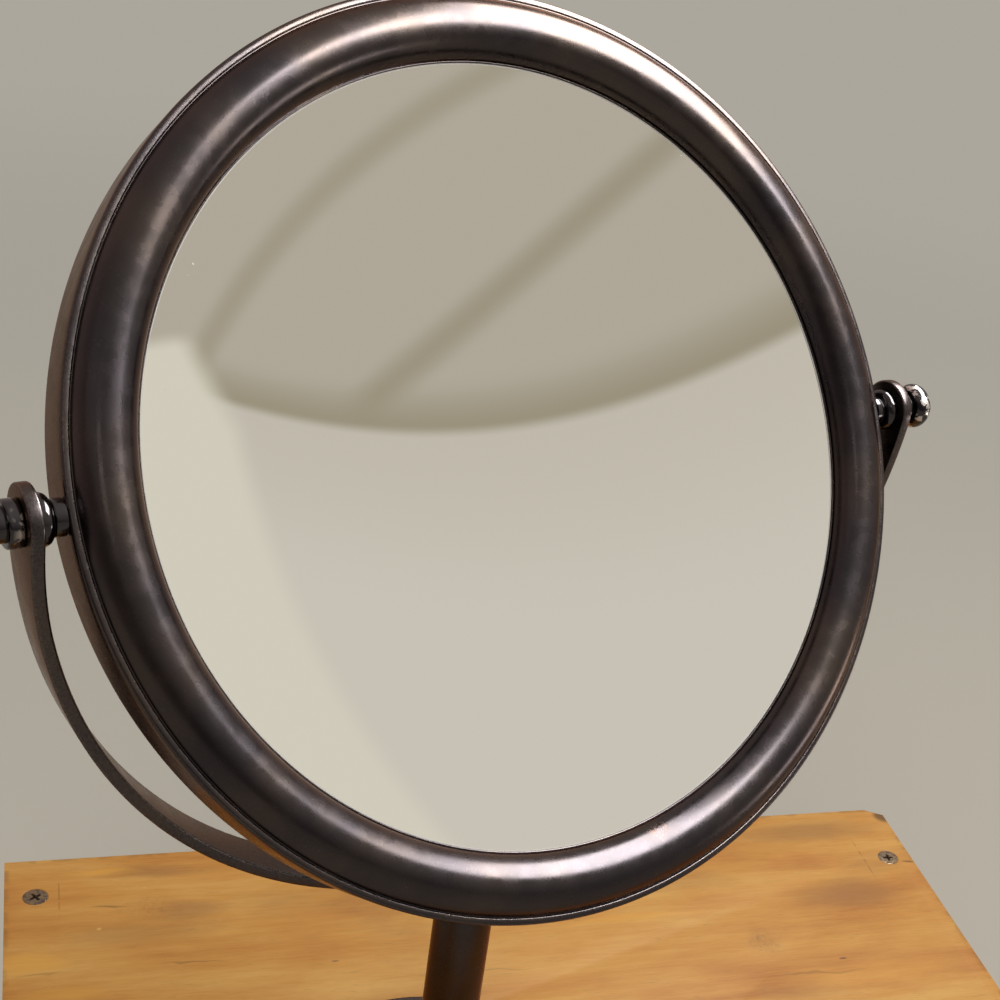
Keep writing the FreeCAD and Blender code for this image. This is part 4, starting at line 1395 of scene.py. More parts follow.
@dataclass
class Case:
    """Wooden box: boards, felt underside, screws, runners and stops."""

    edge_width: float = 0.7 * MM
    screw: Head = Head(HeadKind.FLAT, 4.1 * MM, 2.6 * MM)
    chip_reach: Triple = (-7 * MM, -4 * MM, -3.5 * MM)

    def top_marks(self) -> tuple[Mark, ...]:
        """Give the marks on the top board, planned in millimetres.

        Returns:
            The marks, in the order that they are laid on.
        """
        plans = (
            (MarkKind.SMOKE, ((128, 69, 30, 11, 0.55), (126, 106, 42, 8, 0.5),
                              (-118, 108, 26, 5, 0.5), (-106, 87, 16, 6, 0.45),
                              (-122, 78, 36, 9, 0.3), (60, 82, 40, 7, 0.25))),
            (MarkKind.GLOW, ((-131, 109, 14, 3, 0.6), (-154, 67, 14, 6, 0.55),
                             (-146, 52, 20, 4, 0.35), (40, 66, 34, 3, 0.4), (120, 28, 45, 8, 0.3))),
            (MarkKind.STREAK, ((-131, 91, 8, 0.9, 0.5), (-106, 61.5, 14, 0.6, 0.4),
                               (-152, 62, 9, 0.7, 0.3), (98, 30, 26, 0.7, 0.35),
                               (-20, 46, 34, 0.8, 0.25))),
            (MarkKind.KNOT, ((86, 48, 8.5, 9, 0.8), (-118, 90, 15, 8, 0.4))),
            (MarkKind.DENT, ((111.3, 36.1, 1.9, 0.7, 0.7), (-62.5, 56.7, 1.6, 0.6, 0.5))),
            (MarkKind.NICK, ((-134, 81, 1.0, 0.8, 1.0), (-119, 100, 0.7, 0.5, 0.9))),
            (MarkKind.STREAK, ((160, 84.5, 3.2, 0.6, 0.8),)),
            (MarkKind.DENT, ((162, 113, 5, 5, 0.8),)),
            (MarkKind.PENCIL, ((142.6, 88, 0.45, 15, 0.4), (-145.8, 98, 0.40, 12, 0.3))),
        )
        return tuple(Mark(kind, x * MM, y * MM, along * MM, across * MM, strength)
                     for kind, rows in plans for x, y, along, across, strength in rows)

    def boards(self) -> None:
        """Build the five boards."""
        _, high, _ = span("top_board")
        chip = Chip((high.x, high.y, high.z), self.chip_reach)
        plans = (
            ("top_board", GrainAxis.X, 0.31, self.top_marks(), (chip,)),
            ("bottom_board", GrainAxis.X, 1.37, (), ()),
            ("side_board_left", GrainAxis.Y, 2.71, (), ()),
            ("side_board_right", GrainAxis.Y, 3.93, (), ()),
            ("back_board", GrainAxis.X, 5.11, (), ()),
        )
        for node, grain, seed, marks, chips in plans:
            finish = PineFinish("pine_" + node, node, grain, seed, marks).make()
            mesh = softened(node, self.edge_width, chips)
            show("wood_" + node, mesh, "case", [node], finish)

    def screw_places(self, node: str, facing: Vector) -> list[tuple[Vector, Vector]]:
        """Give the head places of the screws in a node, from its solids.

        Args:
            node: The node of the screws.
            facing: The way their heads face. Along X, each faces out from the middle.

        Returns:
            The middle of each head face, and the way it faces.
        """
        places = []
        for low, high in islands(node):
            middle = (low + high) / 2
            way = facing.copy()
            if abs(facing.x) > 0.5:
                way.x = math.copysign(1.0, middle.x)
            spot = [high[axis] if way[axis] > 0.5 else low[axis] if way[axis] < -0.5
                    else middle[axis] for axis in range(3)]
            places.append((Vector(spot), way))
        return places

    def screws(self, shop: Workshop) -> None:
        """Set the countersunk screws.

        Args:
            shop: Tools and finishes.
        """
        rows = (("top_board_screws", UP, 11), ("bottom_board_screws", -UP, 12),
                ("back_board_screws", Vector((1.0, 0.0, 0.0)), 13))
        for node, way, seed in rows:
            mesh = shop.fasteners.row(self.screw, self.screw_places(node, way), shop.steel, seed)
            show("heads_" + node, mesh, "case", [node])

    def build(self, shop: Workshop) -> None:
        """Build the case.

        Args:
            shop: Tools and finishes.
        """
        self.boards()
        self.screws(shop)
        mesh = felt_pad("base_felt")
        pad = show("felt_underside", mesh, "case", ["base_felt"], shop.felt)
        runner = PineFinish("waxed_runner", "drawer_runner_left", GrainAxis.Y, 7.7,
                            deep=(0.40, 0.24, 0.11), amber=(0.56, 0.38, 0.20),
                            pale=(0.66, 0.48, 0.28), roughness=0.5)
        dress(runner.make(), "drawer_runner_left", "drawer_runner_right")
        dress(MouldedFinish("stop_rubber", (0.03, 0.03, 0.03), 0.75).make(), "drawer_bumpers")


@dataclass
class Drawer:
    """Drawer: front, sides, back, bottom, felt liner, brads and round pull."""

    edge_width: float = 0.6 * MM
    brad: Head = Head(HeadKind.NAIL, 1.6 * MM, 0.8 * MM, 0.8 * MM)
    pull_screw: Head = Head(HeadKind.PAN, 4.5 * MM, 2.4 * MM)
    pull_foot: Pair = (8.5 * MM, 2.5 * MM)
    pull_neck: Pair = (5.0 * MM, 9.0 * MM)
    pull_head: Pair = (14.0 * MM, 9.5 * MM)
    pull_edge: float = 2.0 * MM
    pull_dome: float = 3.0 * MM
    foot_round: Pair = (0.3 * MM, 0.4 * MM)

    def boards(self) -> None:
        """Build the drawer's boards and its thin bottom."""
        plans = (
            ("drawer_front", GrainAxis.X, 6.2),
            ("drawer_side_left", GrainAxis.Y, 8.4),
            ("drawer_side_right", GrainAxis.Y, 9.6),
            ("drawer_back", GrainAxis.X, 10.3),
        )
        for node, grain, seed in plans:
            finish = PineFinish("pine_" + node, node, grain, seed).make()
            mesh = softened(node, self.edge_width)
            show("wood_" + node, mesh, "drawer", [node], finish)
        plywood = PineFinish("pale_plywood", "drawer_bottom", GrainAxis.X, 12.9,
                             deep=(0.46, 0.30, 0.16), amber=(0.62, 0.44, 0.26),
                             pale=(0.72, 0.55, 0.36), roughness=0.55)
        dress(plywood.make(), "drawer_bottom")

    def pull(self, shop: Workshop) -> None:
        """Turn the pull, out along -Y from the drawer front.

        Args:
            shop: Tools and finishes.
        """
        foot_radius, foot_length = self.pull_foot
        neck_radius, neck_length = self.pull_neck
        head_radius, head_length = self.pull_head
        neck_end = foot_length + neck_length
        end = neck_end + head_length
        rim = (head_radius - self.pull_edge, end - self.pull_dome)
        back_round, front_round = self.foot_round
        shape = Outline().go((0.0, 0.0))
        shape.round((foot_radius, 0.0), (foot_radius, foot_length), back_round)
        shape.round((foot_radius, foot_length), (neck_radius, foot_length), front_round)
        shape.go((foot_radius - front_round, foot_length))
        shape.bow((neck_radius, (foot_length + neck_end) / 2), (foot_radius, neck_end))
        shape.go((head_radius - self.pull_edge, neck_end))
        shape.bow((head_radius, (neck_end + rim[1]) / 2), rim, 14, 0.6).dome(end)
        spot = middle_of("drawer_pull")
        spot.y = span("drawer_pull")[1].y
        place = Matrix.Translation(spot) @ Matrix.Rotation(math.pi / 2, 4, "X")
        mesh = shop.lathe.turn(shape, shop.bronze, MIDDLE_STEPS)
        show("turned_pull", mesh, "drawer", ["drawer_pull"], place=place)

    def brads(self, shop: Workshop) -> None:
        """Set the brads in the drawer's sides.

        Args:
            shop: Tools and finishes.
        """
        places = []
        for low, high in islands("drawer_brads"):
            middle = (low + high) / 2
            side = math.copysign(1.0, middle.x)
            face = high.x if side > 0 else low.x
            places.append((Vector((face, middle.y, middle.z)), Vector((side, 0.0, 0.0))))
        mesh = shop.fasteners.row(self.brad, places, shop.steel, 31)
        show("heads_drawer_brads", mesh, "drawer", ["drawer_brads"])

    def build(self, shop: Workshop) -> None:
        """Build the drawer.

        Args:
            shop: Tools and finishes.
        """
        self.boards()
        self.pull(shop)
        self.brads(shop)
        mesh = felt_pad("drawer_liner")
        liner = show("felt_liner", mesh, "drawer", ["drawer_liner"], shop.felt)
        spot = middle_of("drawer_pull_screw")
        spot.y = span("drawer_front")[1].y
        inwards = Vector((0.0, 1.0, 0.0))
        mesh = shop.fasteners.row(self.pull_screw, [(spot, inwards)], shop.steel, 5)
        show("head_pull_screw", mesh, "drawer", ["drawer_pull_screw"])


@dataclass
class Stand:
    """Base flange, post, their screws and the washer that the yoke turns on."""

    flange_radius: float = 51 * MM
    flange_thickness: float = 4 * MM
    flange_round: float = 1.5 * MM
    boss_radius: float = 12.5 * MM
    boss_height: float = 7 * MM
    fillet: float = 2 * MM
    post_radius: float = 7.9 * MM
    post_round: float = 0.8 * MM
    boss_round: float = 1.0 * MM
    flange_screw: Head = Head(HeadKind.PAN, 3.9 * MM, 2.4 * MM, recess_length=4.2 * MM,
                              recess_depth=1.6 * MM)
    yoke_screw: Head = Head(HeadKind.PAN, 5.0 * MM, 2.4 * MM)

    def axis(self) -> Vector:
        """Give the post's axis at floor level."""
        place = joint("yoke_swivel")["pos_m"]
        return Vector((place[0], place[1], 0.0))

    def flange(self, shop: Workshop) -> None:
        """Turn the flange with its boss.

        Args:
            shop: Tools and finishes.
        """
        low, _, _ = span("post_flange")
        top = self.flange_thickness
        boss_top = top + self.boss_height
        outer, boss = self.flange_radius, self.boss_radius
        shape = Outline().go((0.0, 0.0), (outer, 0.0))
        shape.round((outer, top), (boss, top), self.flange_round, 7, 0.7)
        shape.round((boss, top), (boss, boss_top), self.fillet, 7, 0.0)
        shape.round((boss, boss_top), (0.0, boss_top), self.boss_round, 6, 0.8)
        shape.go((self.post_radius, boss_top), (self.post_radius, top), (0.0, top))
        place = Matrix.Translation(self.axis() + Vector((0.0, 0.0, low.z)))
        show("turned_flange", shop.lathe.turn(shape, shop.bronze), "case",
             ["post_flange"], place=place)

    def post(self, shop: Workshop) -> None:
        """Turn the post.

        Args:
            shop: Tools and finishes.
        """
        low, high, _ = span("post")
        radius, corner = self.post_radius, self.post_round
        shape = Outline().go((0.0, low.z), (radius - corner, low.z), (radius, low.z + corner))
        shape.round((radius, high.z), (0.0, high.z), corner, 6, 0.7)
        shape.go((0.0, high.z))
        mesh = shop.lathe.turn(shape, shop.bronze, MIDDLE_STEPS)
        show("turned_post", mesh, "case", ["post"],
             place=Matrix.Translation(self.axis()))

    def screws(self, shop: Workshop) -> None:
        """Set the flange's screws and the one that holds the yoke.

        Args:
            shop: Tools and finishes.
        """
        flange_top = span("post_flange")[0].z + self.flange_thickness
        places = []
        for low, high in islands("flange_screws"):
            middle = (low + high) / 2
            places.append((Vector((middle.x, middle.y, flange_top)), UP))
        mesh = shop.fasteners.row(self.flange_screw, places, shop.bronze, 3)
        show("heads_flange_screws", mesh, "case", ["flange_screws"])
        spot = middle_of("yoke_screw")
        spot.z = span("yoke_screw")[1].z - self.yoke_screw.depth
        mesh = shop.fasteners.row(self.yoke_screw, [(spot, UP)], shop.steel, 8)
        show("head_yoke_screw", mesh, "case", ["yoke_screw"])

    def build(self, shop: Workshop) -> None:
        """Build the stand.

        Args:
            shop: Tools and finishes.
        """
        self.flange(shop)
        self.post(shop)
        self.screws(shop)
        dress(MouldedFinish("swivel_plastic", (0.05, 0.05, 0.05), 0.5).make(), "swivel_washer")
        dress(shop.steel, "post_screw")


@dataclass
class Yoke:
    """U-shaped strap with round ears, its hub and the washers at its ears."""

    ear_inner: float = 112.7 * MM
    thickness: float = 2.8 * MM
    width: float = 12 * MM
    drop: float = 2.7 * MM
    ear_radius: float = 7.8 * MM
    taper: float = 22 * MM
    edge_round: float = 0.55 * MM
    bend_steps: int = 128
    ear_steps: int = 27
    corner_steps: int = 4
    hub_radius: float = 10 * MM
    hub_round: float = 1.0 * MM
    hub_gap: float = 0.2 * MM
    washer_radius: float = 5.5 * MM
    washer_length: float = 2.9 * MM
    washer_round: float = 2.0 * MM
    washer_gap: float = 0.1 * MM

    def half_width(self, height: float, inset: float) -> float:
        """Give half the strap's width at a height above the pivots.

        Args:
            height: Height above the pivots' axis.
            inset: Distance that the outline is drawn in by.

        Returns:
            Half the width.
        """
        radius = self.ear_radius - inset
        half = self.width / 2 - inset
        slope = math.asin((self.ear_radius - self.width / 2) / self.taper)
        touch = -radius * math.sin(slope)
        if height >= touch:
            return math.sqrt(max(0.0, radius ** 2 - height ** 2))
        wide = radius * math.cos(slope)
        share = min(1.0, (touch - height) / (self.taper + touch))
        return wide + (half - wide) * share

    def stations(self) -> list[tuple[Vector, Vector]]:
        """Give points along the strap's middle, with the way its outer face looks.

        Returns:
            Each point and the way that the strap's outer face looks there.
        """
        middle = self.ear_inner + self.thickness / 2
        line: list[tuple[Vector, Vector]] = []
        for step in range(self.ear_steps + 1):
            height = self.ear_radius * math.cos(math.pi / 2 * step / self.ear_steps)
            line.append((Vector((-middle, height, 0.0)), Vector((-1.0, 0.0, 0.0))))
        for step in range(self.bend_steps + 1):
            angle = math.pi * step / self.bend_steps
            way = Vector((-math.cos(angle), -math.sin(angle), 0.0))
            line.append((Vector((0.0, -self.drop, 0.0)) + way * middle, way))
        for step in range(self.ear_steps + 1):
            height = self.ear_radius * math.sin(math.pi / 2 * step / self.ear_steps)
            line.append((Vector((middle, height, 0.0)), Vector((1.0, 0.0, 0.0))))
        return line

    def section(self) -> list[tuple[float, float, int, float]]:
        """Give the strap's cross-section.

        Returns:
            Inset from the outline, offset through the thickness, side and wear of each point.
        """
        points = []
        steps = self.corner_steps
        for side, through in ((1, -1), (1, 1), (-1, 1), (-1, -1)):
            for step in range(steps + 1):
                share = step / steps
                angle = math.pi / 2 * (share if side * through > 0 else 1 - share)
                inset = self.edge_round * (1 - math.cos(angle))
                level = through * (self.thickness / 2 - self.edge_round * (1 - math.sin(angle)))
                points.append((inset, level, side, 1.0 if 0 < step < steps else 0.4))
        return points

    def strap(self, shop: Workshop) -> None:
        """Loft the strap through its cross-sections.

        Args:
            shop: Tools and finishes.
        """
        section = self.section()
        corners: list[Vector] = []
        wear: list[float] = []
        stations = self.stations()
        for spot, way in stations:
            for inset, level, side, edge in section:
                height = min(spot.y, self.ear_radius - inset)
                reach = self.half_width(height, inset)
                corners.append(Vector((spot.x, height, side * reach)) + way * level)
                wear.append(edge)
        count = len(section)
        faces = [(row * count + step, row * count + (step + 1) % count,
                  (row + 1) * count + (step + 1) % count, (row + 1) * count + step)
                 for row in range(len(stations) - 1) for step in range(count)]
        mesh = bpy.data.meshes.new("strap")
        mesh.from_pydata(corners, [], faces)
        layer = mesh.attributes.new("edge", "FLOAT", "POINT")
        layer.data.foreach_set("value", wear)
        show("bent_strap", tidy_mesh(mesh), "yoke", ["yoke_strap"], shop.bronze,
             Places().yoke())

    def hub(self, shop: Workshop) -> None:
        """Turn the hub that the strap rests on.

        Args:
            shop: Tools and finishes.
        """
        low, high, _ = span("yoke_hub")
        radius, top = self.hub_radius, high.z - self.hub_gap
        shape = Outline().go((0.0, low.z))
        shape.round((radius, low.z), (radius, high.z), self.hub_round, 6, 0.7)
        shape.go((radius, top), (0.0, top))
        mesh = shop.lathe.turn(shape, shop.bronze, MIDDLE_STEPS)
        show("turned_hub", mesh, "yoke", ["yoke_hub"],
             place=Matrix.Translation(Stand().axis()))

    def washer(self, shop: Workshop, side: Side) -> None:
        """Turn the domed washer inside one ear.

        Args:
            shop: Tools and finishes.
            side: The side of the yoke.
        """
        end = self.ear_inner - self.washer_gap
        start = end - self.washer_length
        radius = self.washer_radius
        shape = Outline().go((0.0, start))
        shape.round((radius, start), (radius, end), self.washer_round, 10, 0.0)
        shape.go((radius, end), (0.0, end))
        name = "friction_washer_" + side.name.lower()
        mesh = shop.lathe.turn(shape, shop.nickel, SMALL_STEPS)
        show("turned_" + name, mesh, "yoke", [name],
             place=Places().along_pivot(side, False))

    def build(self, shop: Workshop) -> None:
        """Build the yoke and its washers.

        Args:
            shop: Tools and finishes.
        """
        self.strap(shop)
        self.hub(shop)
        for side in Side:
            self.washer(shop, side)


@dataclass
class Pivots:
    """Studs with their collars, and the tension knobs outside the ears."""

    collar_start: float = 107.15 * MM
    collar_radius: float = 3.9 * MM
    collar_length: float = 2.4 * MM
    knob_start: float = 115.65 * MM
    shoulder: Pair = (5.0 * MM, 3.0 * MM)
    neck: Pair = (3.7 * MM, 1.8 * MM)
    head: Pair = (6.0 * MM, 6.4 * MM)
    head_edge: float = 1.6 * MM
    dome: float = 1.2 * MM
    stud_start: float = 104.5 * MM
    stud_radius: float = 2.0 * MM
    stud_tip: float = 1.0 * MM
    collar_round: float = 0.4 * MM
    shoulder_round: Pair = (0.3 * MM, 0.6 * MM)

    def stud(self, shop: Workshop, side: Side) -> None:
        """Turn the collar and the stud that shows beside it.

        Args:
            shop: Tools and finishes.
            side: The side of the mirror.
        """
        start, end = self.collar_start, self.collar_start + self.collar_length
        inner, outer, radius = self.stud_start, end + self.stud_tip, self.stud_radius
        shape = Outline().go((0.0, inner), (radius, inner), (radius, start))
        shape.go((self.collar_radius, start))
        shape.round((self.collar_radius, end), (0.0, end), self.collar_round, 5, 0.0)
        shape.go((radius, end), (radius, outer), (0.0, outer))
        name = "pivot_stud_" + side.name.lower()
        mesh = shop.lathe.turn(shape, shop.nickel, SMALL_STEPS)
        show("turned_" + name, mesh, "mirror", [name],
             place=Places().along_pivot(side, True))

    def knob(self, shop: Workshop, side: Side) -> None:
        """Turn one tension knob.

        Args:
            shop: Tools and finishes.
            side: The side of the mirror.
        """
        start = self.knob_start
        shoulder_radius, shoulder_length = self.shoulder
        neck_radius, neck_length = self.neck
        head_radius, head_length = self.head
        shoulder_end = start + shoulder_length
        head_start = shoulder_end + neck_length
        end = head_start + head_length
        inner, rim = head_radius - self.head_edge, end - self.dome
        ear_round, neck_round = self.shoulder_round
        shape = Outline().go((0.0, start))
        shape.round((shoulder_radius, start), (shoulder_radius, shoulder_end), ear_round)
        shape.round((shoulder_radius, shoulder_end), (neck_radius, shoulder_end), neck_round,
                    6, 0.0)
        shape.go((neck_radius, shoulder_end), (neck_radius, head_start), (inner, head_start))
        shape.bow((head_radius, (head_start + rim) / 2), (inner, rim), 20, 1.0)
        shape.dome(end, 16, 1.0)
        name = "tension_knob_" + side.name.lower()
        mesh = shop.lathe.turn(shape, shop.nickel, MIDDLE_STEPS)
        show("turned_" + name, mesh, "knob_" + side.name.lower(), [name],
             place=Places().along_pivot(side, True))

    def build(self, shop: Workshop) -> None:
        """Build both pivots.

        Args:
            shop: Tools and finishes.
        """
        for side in Side:
            self.stud(shop, side)
            self.knob(shop, side)
        dress(shop.steel, "pivot_block_left", "pivot_block_right")


@dataclass
class MirrorHead:
    """Front moulding, deep rear frame and the two glasses.

    Levels count forwards from the pivots.
    """

    frame_radius: float = 106.5 * MM
    opening: float = 90.8 * MM
    wall: float = 2.4 * MM
    seam_level: float = 1.65 * MM
    lip_radius: float = 107.1 * MM
    lip_level: float = 3.9 * MM
    lip_width: float = 1.8 * MM
    lip_round: float = 0.8 * MM
    groove_width: float = 0.15 * MM
    groove_level: float = 3.7 * MM
    crest_level: float = 7.8 * MM
    foot_level: float = 1.9 * MM
    bead_width: float = 0.5 * MM
    glass_level: float = 0.95 * MM
    glass_thickness: float = 2 * MM
    glass_radius: float = 93.0 * MM
    bowl_radius: float = 91.5 * MM
    bowl_depth: float = 4.65 * MM
    ground_rim: float = 0.3 * MM
    rear_glass_front: float = -6.6 * MM
    rear_level: float = -10.15 * MM
    rear_round: float = 1.0 * MM
    foot_gap: float = 0.1 * MM
    seat_gap: float = 0.05 * MM
    bead_height: float = 0.12 * MM
    dust_reach: float = 8 * MM

    def bezel(self) -> Outline:
        """Give the outline of the front moulding.

        Returns:
            The outline, from the glass outwards and back inside.
        """
        groove_outer = self.lip_radius - self.lip_width
        moulding_outer = groove_outer - self.groove_width
        foot = self.opening + self.bead_width + self.foot_gap
        crest = (foot + moulding_outer) / 2
        seat = self.glass_level + self.seat_gap
        bead = seat + self.bead_height
        lip, seam = self.lip_radius, self.seam_level
        shape = Outline().go((self.opening, seat), (self.opening, bead))
        shape.bow((self.opening + self.bead_width / 2, bead + self.bead_width / 2),
                  (self.opening + self.bead_width, bead), 8, 0.3)
        shape.go((foot, bead), (foot, self.foot_level))
        shape.bow((crest, self.crest_level), (moulding_outer, self.groove_level), 56)
        shape.go((groove_outer, self.groove_level))
        shape.round((groove_outer, self.lip_level), (lip, self.lip_level), 0.6 * self.lip_round,
                    6, 0.5)
        shape.round((lip, self.lip_level), (lip, seam), self.lip_round, 8, 0.3)
        shape.go((lip, seam), (self.frame_radius - 2 * self.wall, seam))
        return shape.go((self.glass_radius + 0.2 * MM, seat))

    def rear(self) -> Outline:
        """Give the outline of the rear frame.

        Returns:
            The outline, which is a ring.
        """
        top = self.seam_level - self.seat_gap
        outer, back = self.frame_radius, self.rear_level
        inner = outer - self.wall
        flange_front = self.rear_glass_front - self.glass_thickness - self.seat_gap
        shape = Outline().go((self.opening, flange_front))
        shape.round((self.opening, back), (outer, back), 0.3 * MM, 4, 1.0)
        shape.round((outer, back), (outer, top), self.rear_round, 8, 0.8)
        return shape.go((outer, top), (inner, top), (inner, flange_front))

    def front_glass(self) -> Outline:
        """Give the outline of the magnifying glass.

        Returns:
            The outline, whose edge value rises towards the ground rim.
        """
        bowl = self.glass_level - self.bowl_depth
        sphere = (self.bowl_radius ** 2 + self.bowl_depth ** 2) / (2 * self.bowl_depth)
        shape = Outline()
        steps = 72
        for step in range(steps + 1):
            radius = self.bowl_radius * math.sin(math.pi / 2 * step / steps)
            level = bowl + sphere - math.sqrt(sphere ** 2 - radius ** 2)
            share = (radius - self.opening + self.dust_reach) / self.dust_reach
            near = min(0.7, max(0.0, share))
            on_rim = radius > self.opening - self.ground_rim
            shape.points.append((radius, level, 1.0 if on_rim else near))
        shape.go((self.glass_radius, self.glass_level), edge=1.0)
        back = self.glass_level - self.glass_thickness
        shape.go((self.glass_radius, back), (self.bowl_radius - 1.5 * MM, back), edge=1.0)
        return shape.dome(bowl - self.glass_thickness, 40)

    def rear_glass(self) -> Outline:
        """Give the outline of the plain glass, which faces backwards.

        Returns:
            The outline, whose edge value rises towards the ground rim.
        """
        front, back = self.rear_glass_front, self.rear_glass_front - self.glass_thickness
        radius = self.opening + 3 * MM
        shape = Outline().go((0.0, front)).go((radius, front), (radius, back), edge=1.0)
        shape.go((self.opening - self.ground_rim, back), edge=1.0)
        shape.go((self.opening - self.ground_rim - 0.01 * MM, back), edge=0.7)
        return shape.go((self.opening - self.dust_reach, back), (0.0, back))

    def build(self, shop: Workshop) -> None:
        """Build the mirror.

        Args:
            shop: Tools and finishes.
        """
        place = Places().mirror()
        plans = (
            ("turned_bezel", self.bezel(), shop.bronze, "bronze_metal", "front_bezel"),
            ("turned_rear_frame", self.rear(), shop.bronze, "bronze_metal", "rear_frame"),
            ("magnifying_face", self.front_glass(), shop.silver, "mirror_glass",
             "magnifying_glass"),
            ("plain_face", self.rear_glass(), shop.silver, "mirror_glass", "plain_glass"),
        )
        for name, outline, finish, slot, node in plans:
            mesh = shop.lathe.turn(outline, finish, 2 * TURN_STEPS)
            show(name, mesh, "mirror", [node], place=place)
        dress(MouldedFinish("spacer_plastic", (0.08, 0.08, 0.08), 0.6).make(), "glass_spacer")


# ---- studio ----

def stage_square(name: str, half: float, finish: Material) -> Thing:
    """Lay a flat square of the stage, centred on its own origin.

    Args:
        name: The square's name.
        half: Half its width.
        finish: Its material.

    Returns:
        The square.
    """
    mesh = bpy.data.meshes.new(name)
    mesh.from_pydata([(-half, -half, 0), (half, -half, 0), (half, half, 0), (-half, half, 0)], [],
                     [(0, 1, 2, 3)])
    mesh.materials.append(finish)
    piece = in_scene(name, mesh)
    return piece


@dataclass
class RoomCard:
    """Far, soft picture of a room corner that only reflections see.

    A hollow mirror draws a small patch of its surroundings out over its whole face, so this
    card is small and far off, and its lines are soft. Its own X runs right and Y up.
    """

    toward: Triple = (0.69435, -0.52166, 0.49574)
    distance: float = 1.0
    half_width: float = 0.32
    ceiling: Colour = (0.475, 0.425, 0.355)
    wall: Colour = (0.64, 0.595, 0.525)
    side_wall: Colour = (0.70, 0.655, 0.555)
    shade: Colour = (0.335, 0.295, 0.205)
    ceiling_edge: Triple = (0.24, 0.0, 0.072)
    near_beam: Triple = (4.43, -0.484, 0.023)
    far_beam: Triple = (11.41, -0.606, -0.0495)
    wall_corner: Triple = (4.8, 0.24, -0.0058)
    fade: Pair = (20.0, 30.0)

    def curve(self, sheet: Shading, x: Any, line: Triple) -> Socket:
        """Give the height of a curve.

        Args:
            sheet: The card's nodes.
            x: Distance to the right.
            line: The curve's constant, slope and bow.

        Returns:
            The value constant + slope * x + bow * x * x.
        """
        constant, slope, bow = line
        rise = sheet.math("ADD", sheet.math("MULTIPLY", x, bow), slope)
        return sheet.math("ADD", sheet.math("MULTIPLY", rise, x), constant)

    def beam(self, sheet: Shading, place: tuple[Socket, Socket], line: Triple,
             width: float, strength: float) -> Socket:
        """Give a soft dark line along a curve.

        Args:
            sheet: The card's nodes.
            place: X and Y on the card.
            line: The curve's constant, slope and bow.
            width: Half the line's width.
            strength: How dark it is.

        Returns:
            The line's share, from 0 to its strength.
        """
        away = sheet.math("SUBTRACT", place[1], self.curve(sheet, place[0], line))
        return sheet.remap(sheet.math("ABSOLUTE", away), 0.0, width, strength, 0.0)

    def colour(self, sheet: Shading, place: tuple[Socket, Socket]) -> Socket:
        """Paint the room: ceiling with two beams, far wall and a nearer wall.

        Args:
            sheet: The card's nodes.
            place: X and Y on the card, in centimetres.

        Returns:
            The picture's colour there.
        """
        x, y = place
        edge = self.curve(sheet, sheet.math("ADD", x, 4.1), self.ceiling_edge)
        above = sheet.math("SUBTRACT", y, edge)
        ceiling = sheet.blend(sheet.remap(above, 0.1, 2.4, 0.85, 0.0), self.ceiling, self.shade)
        near = self.beam(sheet, place, self.near_beam, 1.05, 0.75)
        near = sheet.math("MULTIPLY", near, sheet.remap(x, 1.0, 2.6, 1.0, 0.0))
        ceiling = sheet.blend(near, ceiling, self.shade)
        far = self.beam(sheet, place, self.far_beam, 0.95, 0.6)
        ceiling = sheet.blend(far, ceiling, self.shade)
        wall = sheet.blend(sheet.remap(above, -9.0, 0.0, 0.0, 0.35), self.wall, self.ceiling)
        room = sheet.blend(sheet.remap(above, -0.35, 0.25), wall, ceiling)
        below = sheet.math("MAXIMUM", sheet.math("SUBTRACT", 4.6, y), 0.0)
        beside = sheet.math("SUBTRACT", x, self.curve(sheet, below, self.wall_corner))
        top = sheet.math("SUBTRACT", y, sheet.math("MULTIPLY", x, 0.35))
        side = sheet.math("MULTIPLY", sheet.remap(beside, -0.45, 0.35),
                          sheet.remap(top, 6.3, 7.1, 1.0, 0.0))
        return sheet.blend(side, room, self.side_wall)

    def material(self) -> Material:
        """Build the card's finish: it glows with the picture and fades out round its edge.

        Returns:
            The material.
        """
        sheet = Shading("room_card")
        scaled = sheet.mapped(sheet.place(), scale=(100.0, 100.0, 100.0))
        x, y, _ = sheet.parts(scaled)
        shown = sheet.remap(sheet.length(scaled), *self.fade, 1.0, 0.0)
        return sheet.set(colour=(0.0, 0.0, 0.0), specular=0.0, glow=self.colour(sheet, (x, y)),
                         glow_strength=1.0, alpha=shown)

    def build(self) -> None:
        """Set the card up."""
        card = stage_square("room_card", self.half_width, self.material())
        ahead = Vector(self.toward)
        right = ahead.cross(UP).normalized()
        turn = Matrix((right, right.cross(ahead), -ahead)).transposed().to_4x4()
        card.matrix_world = Matrix.Translation(Places().pivot() + ahead * self.distance) @ turn
        for ray in ("camera", "diffuse", "shadow", "transmission"):
            setattr(card, "visible_" + ray, False)


